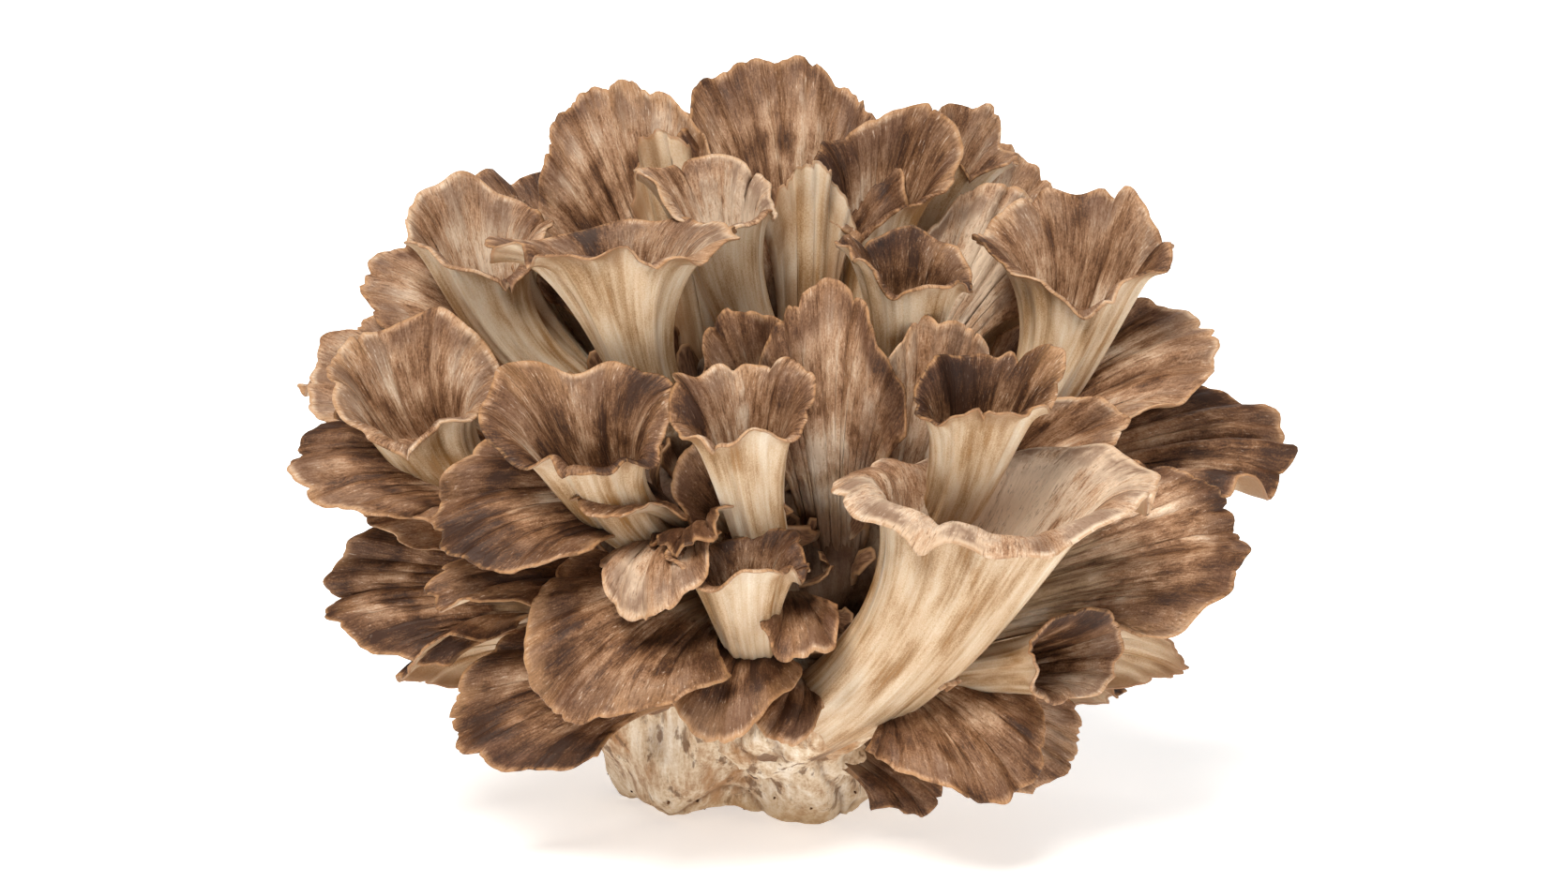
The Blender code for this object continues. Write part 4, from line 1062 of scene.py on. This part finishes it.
def scatter_tree():
    """Geometry Nodes: stands things on a skin between two heights, each with a turn and a size of its own."""
    tree = bpy.data.node_groups.new("scatter_on_skin", "GeometryNodeTree")
    measures = ("Lowest", "Highest", "Spacing", "Smallest", "Largest", "Lean", "Upward", "Furthest Out")
    sockets = [("Skin", "Geometry"), ("Things", "Collection")]
    sockets += [(name, "Float") for name in measures]
    sockets += [("Seed", "Int"), ("Finish", "Material")]
    for name, kind in sockets:
        tree.interface.new_socket(name, in_out="INPUT", socket_type="NodeSocket" + kind)
    tree.interface.new_socket("Scattered", in_out="OUTPUT", socket_type="NodeSocketGeometry")
    given = add(tree, "NodeGroupInput").outputs
    where = add(tree, "GeometryNodeInputPosition").outputs[0]
    height = add(tree, "ShaderNodeSeparateXYZ", {0: where}).outputs[2]
    above = add(tree, "FunctionNodeCompare", {0: height, 1: given["Lowest"]}, operation="GREATER_THAN")
    below = add(tree, "FunctionNodeCompare", {0: height, 1: given["Highest"]}, operation="LESS_THAN")
    band = add(tree, "FunctionNodeBooleanMath", {0: above.outputs[0], 1: below.outputs[0]}, operation="AND")
    away = add(tree, "GeometryNodeInputNamedAttribute", {"Name": "away"}, data_type="FLOAT").outputs[0]
    close = add(tree, "FunctionNodeCompare", {0: away, 1: given["Furthest Out"]}, operation="LESS_THAN")
    inside = add(tree, "FunctionNodeBooleanMath", {0: band.outputs[0], 1: close.outputs[0]}, operation="AND")
    spots = add(
        tree,
        "GeometryNodeDistributePointsOnFaces",
        {
            "Mesh": given["Skin"],
            "Selection": inside.outputs[0],
            "Distance Min": given["Spacing"],
            "Density Max": MOST_PER_SQUARE_METRE,
            "Seed": given["Seed"],
        },
        distribute_method="POISSON",
    )
    things = add(
        tree,
        "GeometryNodeCollectionInfo",
        {"Collection": given["Things"], "Separate Children": True, "Reset Children": True},
    )
    upward = add(tree, "ShaderNodeCombineXYZ", {2: given["Upward"]}).outputs[0]
    heading = add(tree, "ShaderNodeVectorMath", {0: spots.outputs["Normal"], 1: upward}, operation="ADD")
    stood = add(tree, "FunctionNodeAlignRotationToVector", {"Vector": heading.outputs[0]}, axis="Z")
    back = reckon(tree, "MULTIPLY", given["Lean"], -1.0)
    low = add(tree, "ShaderNodeCombineXYZ", {0: back, 1: back, 2: -math.pi}).outputs[0]
    high = add(tree, "ShaderNodeCombineXYZ", {0: given["Lean"], 1: given["Lean"], 2: math.pi}).outputs[0]
    turns = {"Min": low, "Max": high, "Seed": given["Seed"]}
    spin = add(tree, "FunctionNodeRandomValue", turns, data_type="FLOAT_VECTOR")
    euler = add(tree, "FunctionNodeEulerToRotation", {0: spin.outputs[0]})
    turned = add(
        tree,
        "FunctionNodeRotateRotation",
        {"Rotation": stood.outputs[0], "Rotate By": euler.outputs[0]},
        rotation_space="LOCAL",
    )
    size = add(tree, "FunctionNodeRandomValue", data_type="FLOAT")
    for socket, source in (("Min", "Smallest"), ("Max", "Largest"), ("Seed", "Seed")):
        found = [s for s in size.inputs if s.name == socket and s.enabled][0]
        tree.links.new(given[source], found)
    placed = add(
        tree,
        "GeometryNodeInstanceOnPoints",
        {
            "Points": spots.outputs["Points"],
            "Instance": things.outputs[0],
            "Pick Instance": True,
            "Rotation": turned.outputs[0],
            "Scale": [s for s in size.outputs if s.enabled][0],
        },
    )
    real = add(tree, "GeometryNodeRealizeInstances", {"Geometry": placed.outputs[0]})
    dressed = {"Geometry": real.outputs[0], "Material": given["Finish"]}
    finished = add(tree, "GeometryNodeSetMaterial", dressed)
    add(tree, "NodeGroupOutput", {0: finished.outputs[0]})
    return tree


def scatter(name, skin, tree, things, finish, **values):
    """A plain mesh of the scattered things. values are the tree's inputs, with _ for a space: heights and
    spacing in metres, lean in radians, sizes as shares of the thing's own, and Furthest Out in mm."""
    obj = put(name, skin.data.copy())
    spread = obj.modifiers.new("scatter", "NODES")
    spread.node_group = tree
    given = {s.name: s.identifier for s in tree.interface.items_tree if s.in_out == "INPUT"}
    spread[given["Things"]] = things
    spread[given["Finish"]] = finish
    for label, value in values.items():
        spread[given[label.replace("_", " ")]] = value
    graph = bpy.context.evaluated_depsgraph_get()
    mesh = bpy.data.meshes.new_from_object(obj.evaluated_get(graph))
    obj.modifiers.clear()
    obj.data = mesh
    stand_in(obj)
    return obj


def hidden_collection(name, objects):
    """A collection for shapes that are only copied from: it isn't linked to the scene."""
    made = bpy.data.collections.new(name)
    for obj in objects:
        for holder in list(obj.users_collection):
            holder.objects.unlink(obj)
        made.objects.link(obj)
    return made


def young_shapes():
    """Four young fronds, each growing up from the origin, a few mm long."""
    shapes = []
    for k, (tall, wide, curl) in enumerate([(10, 3.4, 25), (13, 3.0, 35), (8, 4.0, 20), (15, 2.6, 40)]):
        f = fan(
            f"young_{k}", (0, 0, -2), (0, -2.5, tall), (0, 20), wide,
            curl=curl, bend=35, stalk=1.5, flare=0.6, wave=0.5, neck=0.5, lobes=4,
        )
        shapes.append(shell_object(f.name, fan_shell(f, 5, 3), [], chance(f.name).uniform(0, 1)))
    return shapes


def crumb_shapes():
    """Three rough crumbs, 1 to 2 mm across."""
    shapes = []
    for k in range(3):
        shape = bmesh.new()
        bmesh.ops.create_icosphere(shape, subdivisions=1, radius=0.7 * MM)
        rng = chance(f"crumb {k}")
        for point in shape.verts:
            point.co *= rng.uniform(0.55, 1.3)
            point.co.z *= 0.7
        mesh = bpy.data.meshes.new(f"crumb_{k}")
        shape.to_mesh(mesh)
        shape.free()
        shapes.append(put(mesh.name, mesh))
    return shapes


# ---------------------------------------------------------------- floor, light, camera


def aim(obj, heading):
    """Turns a lamp or a camera so that it looks along heading."""
    obj.rotation_euler = heading.to_track_quat("-Z", "Y").to_euler()


def studio():
    """A white paper floor in soft white surroundings, a broad sun, two lamps and the camera."""
    scene = bpy.context.scene
    scene.view_settings.view_transform = "Standard"
    floor_mesh = bpy.data.meshes.new("floor")
    far = FLOOR_HALF_WIDTH
    corners = [(-far, -far, 0), (far, -far, 0), (far, far, 0), (-far, far, 0)]
    floor_mesh.from_pydata(corners, [], [(0, 1, 2, 3)])
    floor = put("floor", floor_mesh)
    floor.location.z = CAD_BOX[0].z
    white = colour("#FFFFFF")
    # Plain paper that glows a little, so that the shadows on it stay light
    paper = new_finish(
        "white_paper", Roughness=0.9, Specular_IOR_Level=0.1, Base_Color=colour("#FAFAFA"),
        Emission_Color=white, Emission_Strength=FLOOR_GLOW,
    )[0]
    floor_mesh.materials.append(paper)
    world = bpy.data.worlds.new("soft_white")
    world.use_nodes = True
    world.node_tree.nodes["Background"].inputs["Color"].default_value = white
    world.node_tree.nodes["Background"].inputs["Strength"].default_value = WORLD_LIGHT
    scene.world = world
    sun = bpy.data.lights.new("key", "SUN")
    sun.energy, sun.angle, sun.color = SUN_POWER, math.radians(SUN_SOFTNESS), colour("#FFFAF2")[:3]
    aim(put("key", sun), Vector(SUN_HEADING))
    for name, place, size, power in LAMPS:
        data = bpy.data.lights.new(name, "AREA")
        data.size, data.energy = size, power
        lamp = put(name, data)
        lamp.location = place
        aim(lamp, Vector((0, 0, 0.1)) - Vector(place))
    data = bpy.data.cameras.new("camera")
    data.lens, data.sensor_width = CAMERA_LENS, CAMERA_SENSOR
    camera = put("camera", data)
    target, rise = Vector(CAMERA_TARGET), math.radians(CAMERA_RISE)
    camera.location = target + CAMERA_DISTANCE * Vector((0, -math.cos(rise), math.sin(rise)))
    aim(camera, target - camera.location)
    scene.camera = camera


def main():
    studio()
    caps = [cap_skin(), pore_flesh()]
    fronds = FRONT_FRONDS + rear_fronds()
    for f in fronds:
        grow_frond(f, caps)
    stem = trunk(fronds, trunk_flesh())
    tree = scatter_tree()
    scatter(
        "young_fronds", stem, tree, hidden_collection("young", young_shapes()), young_skin(),
        Lowest=0.034, Highest=0.125, Spacing=0.0075, Smallest=0.7, Largest=1.3, Lean=0.35, Upward=0.8,
        Furthest_Out=6.0, Seed=4,
    )
    scatter(
        "foot_crumbs", stem, tree, hidden_collection("crumbs", crumb_shapes()), leaf_mould(),
        Lowest=0.001, Highest=0.012, Spacing=0.0075, Smallest=0.4, Largest=1.0, Lean=3.0, Upward=0.0,
        Furthest_Out=90.0, Seed=11,
    )


main()
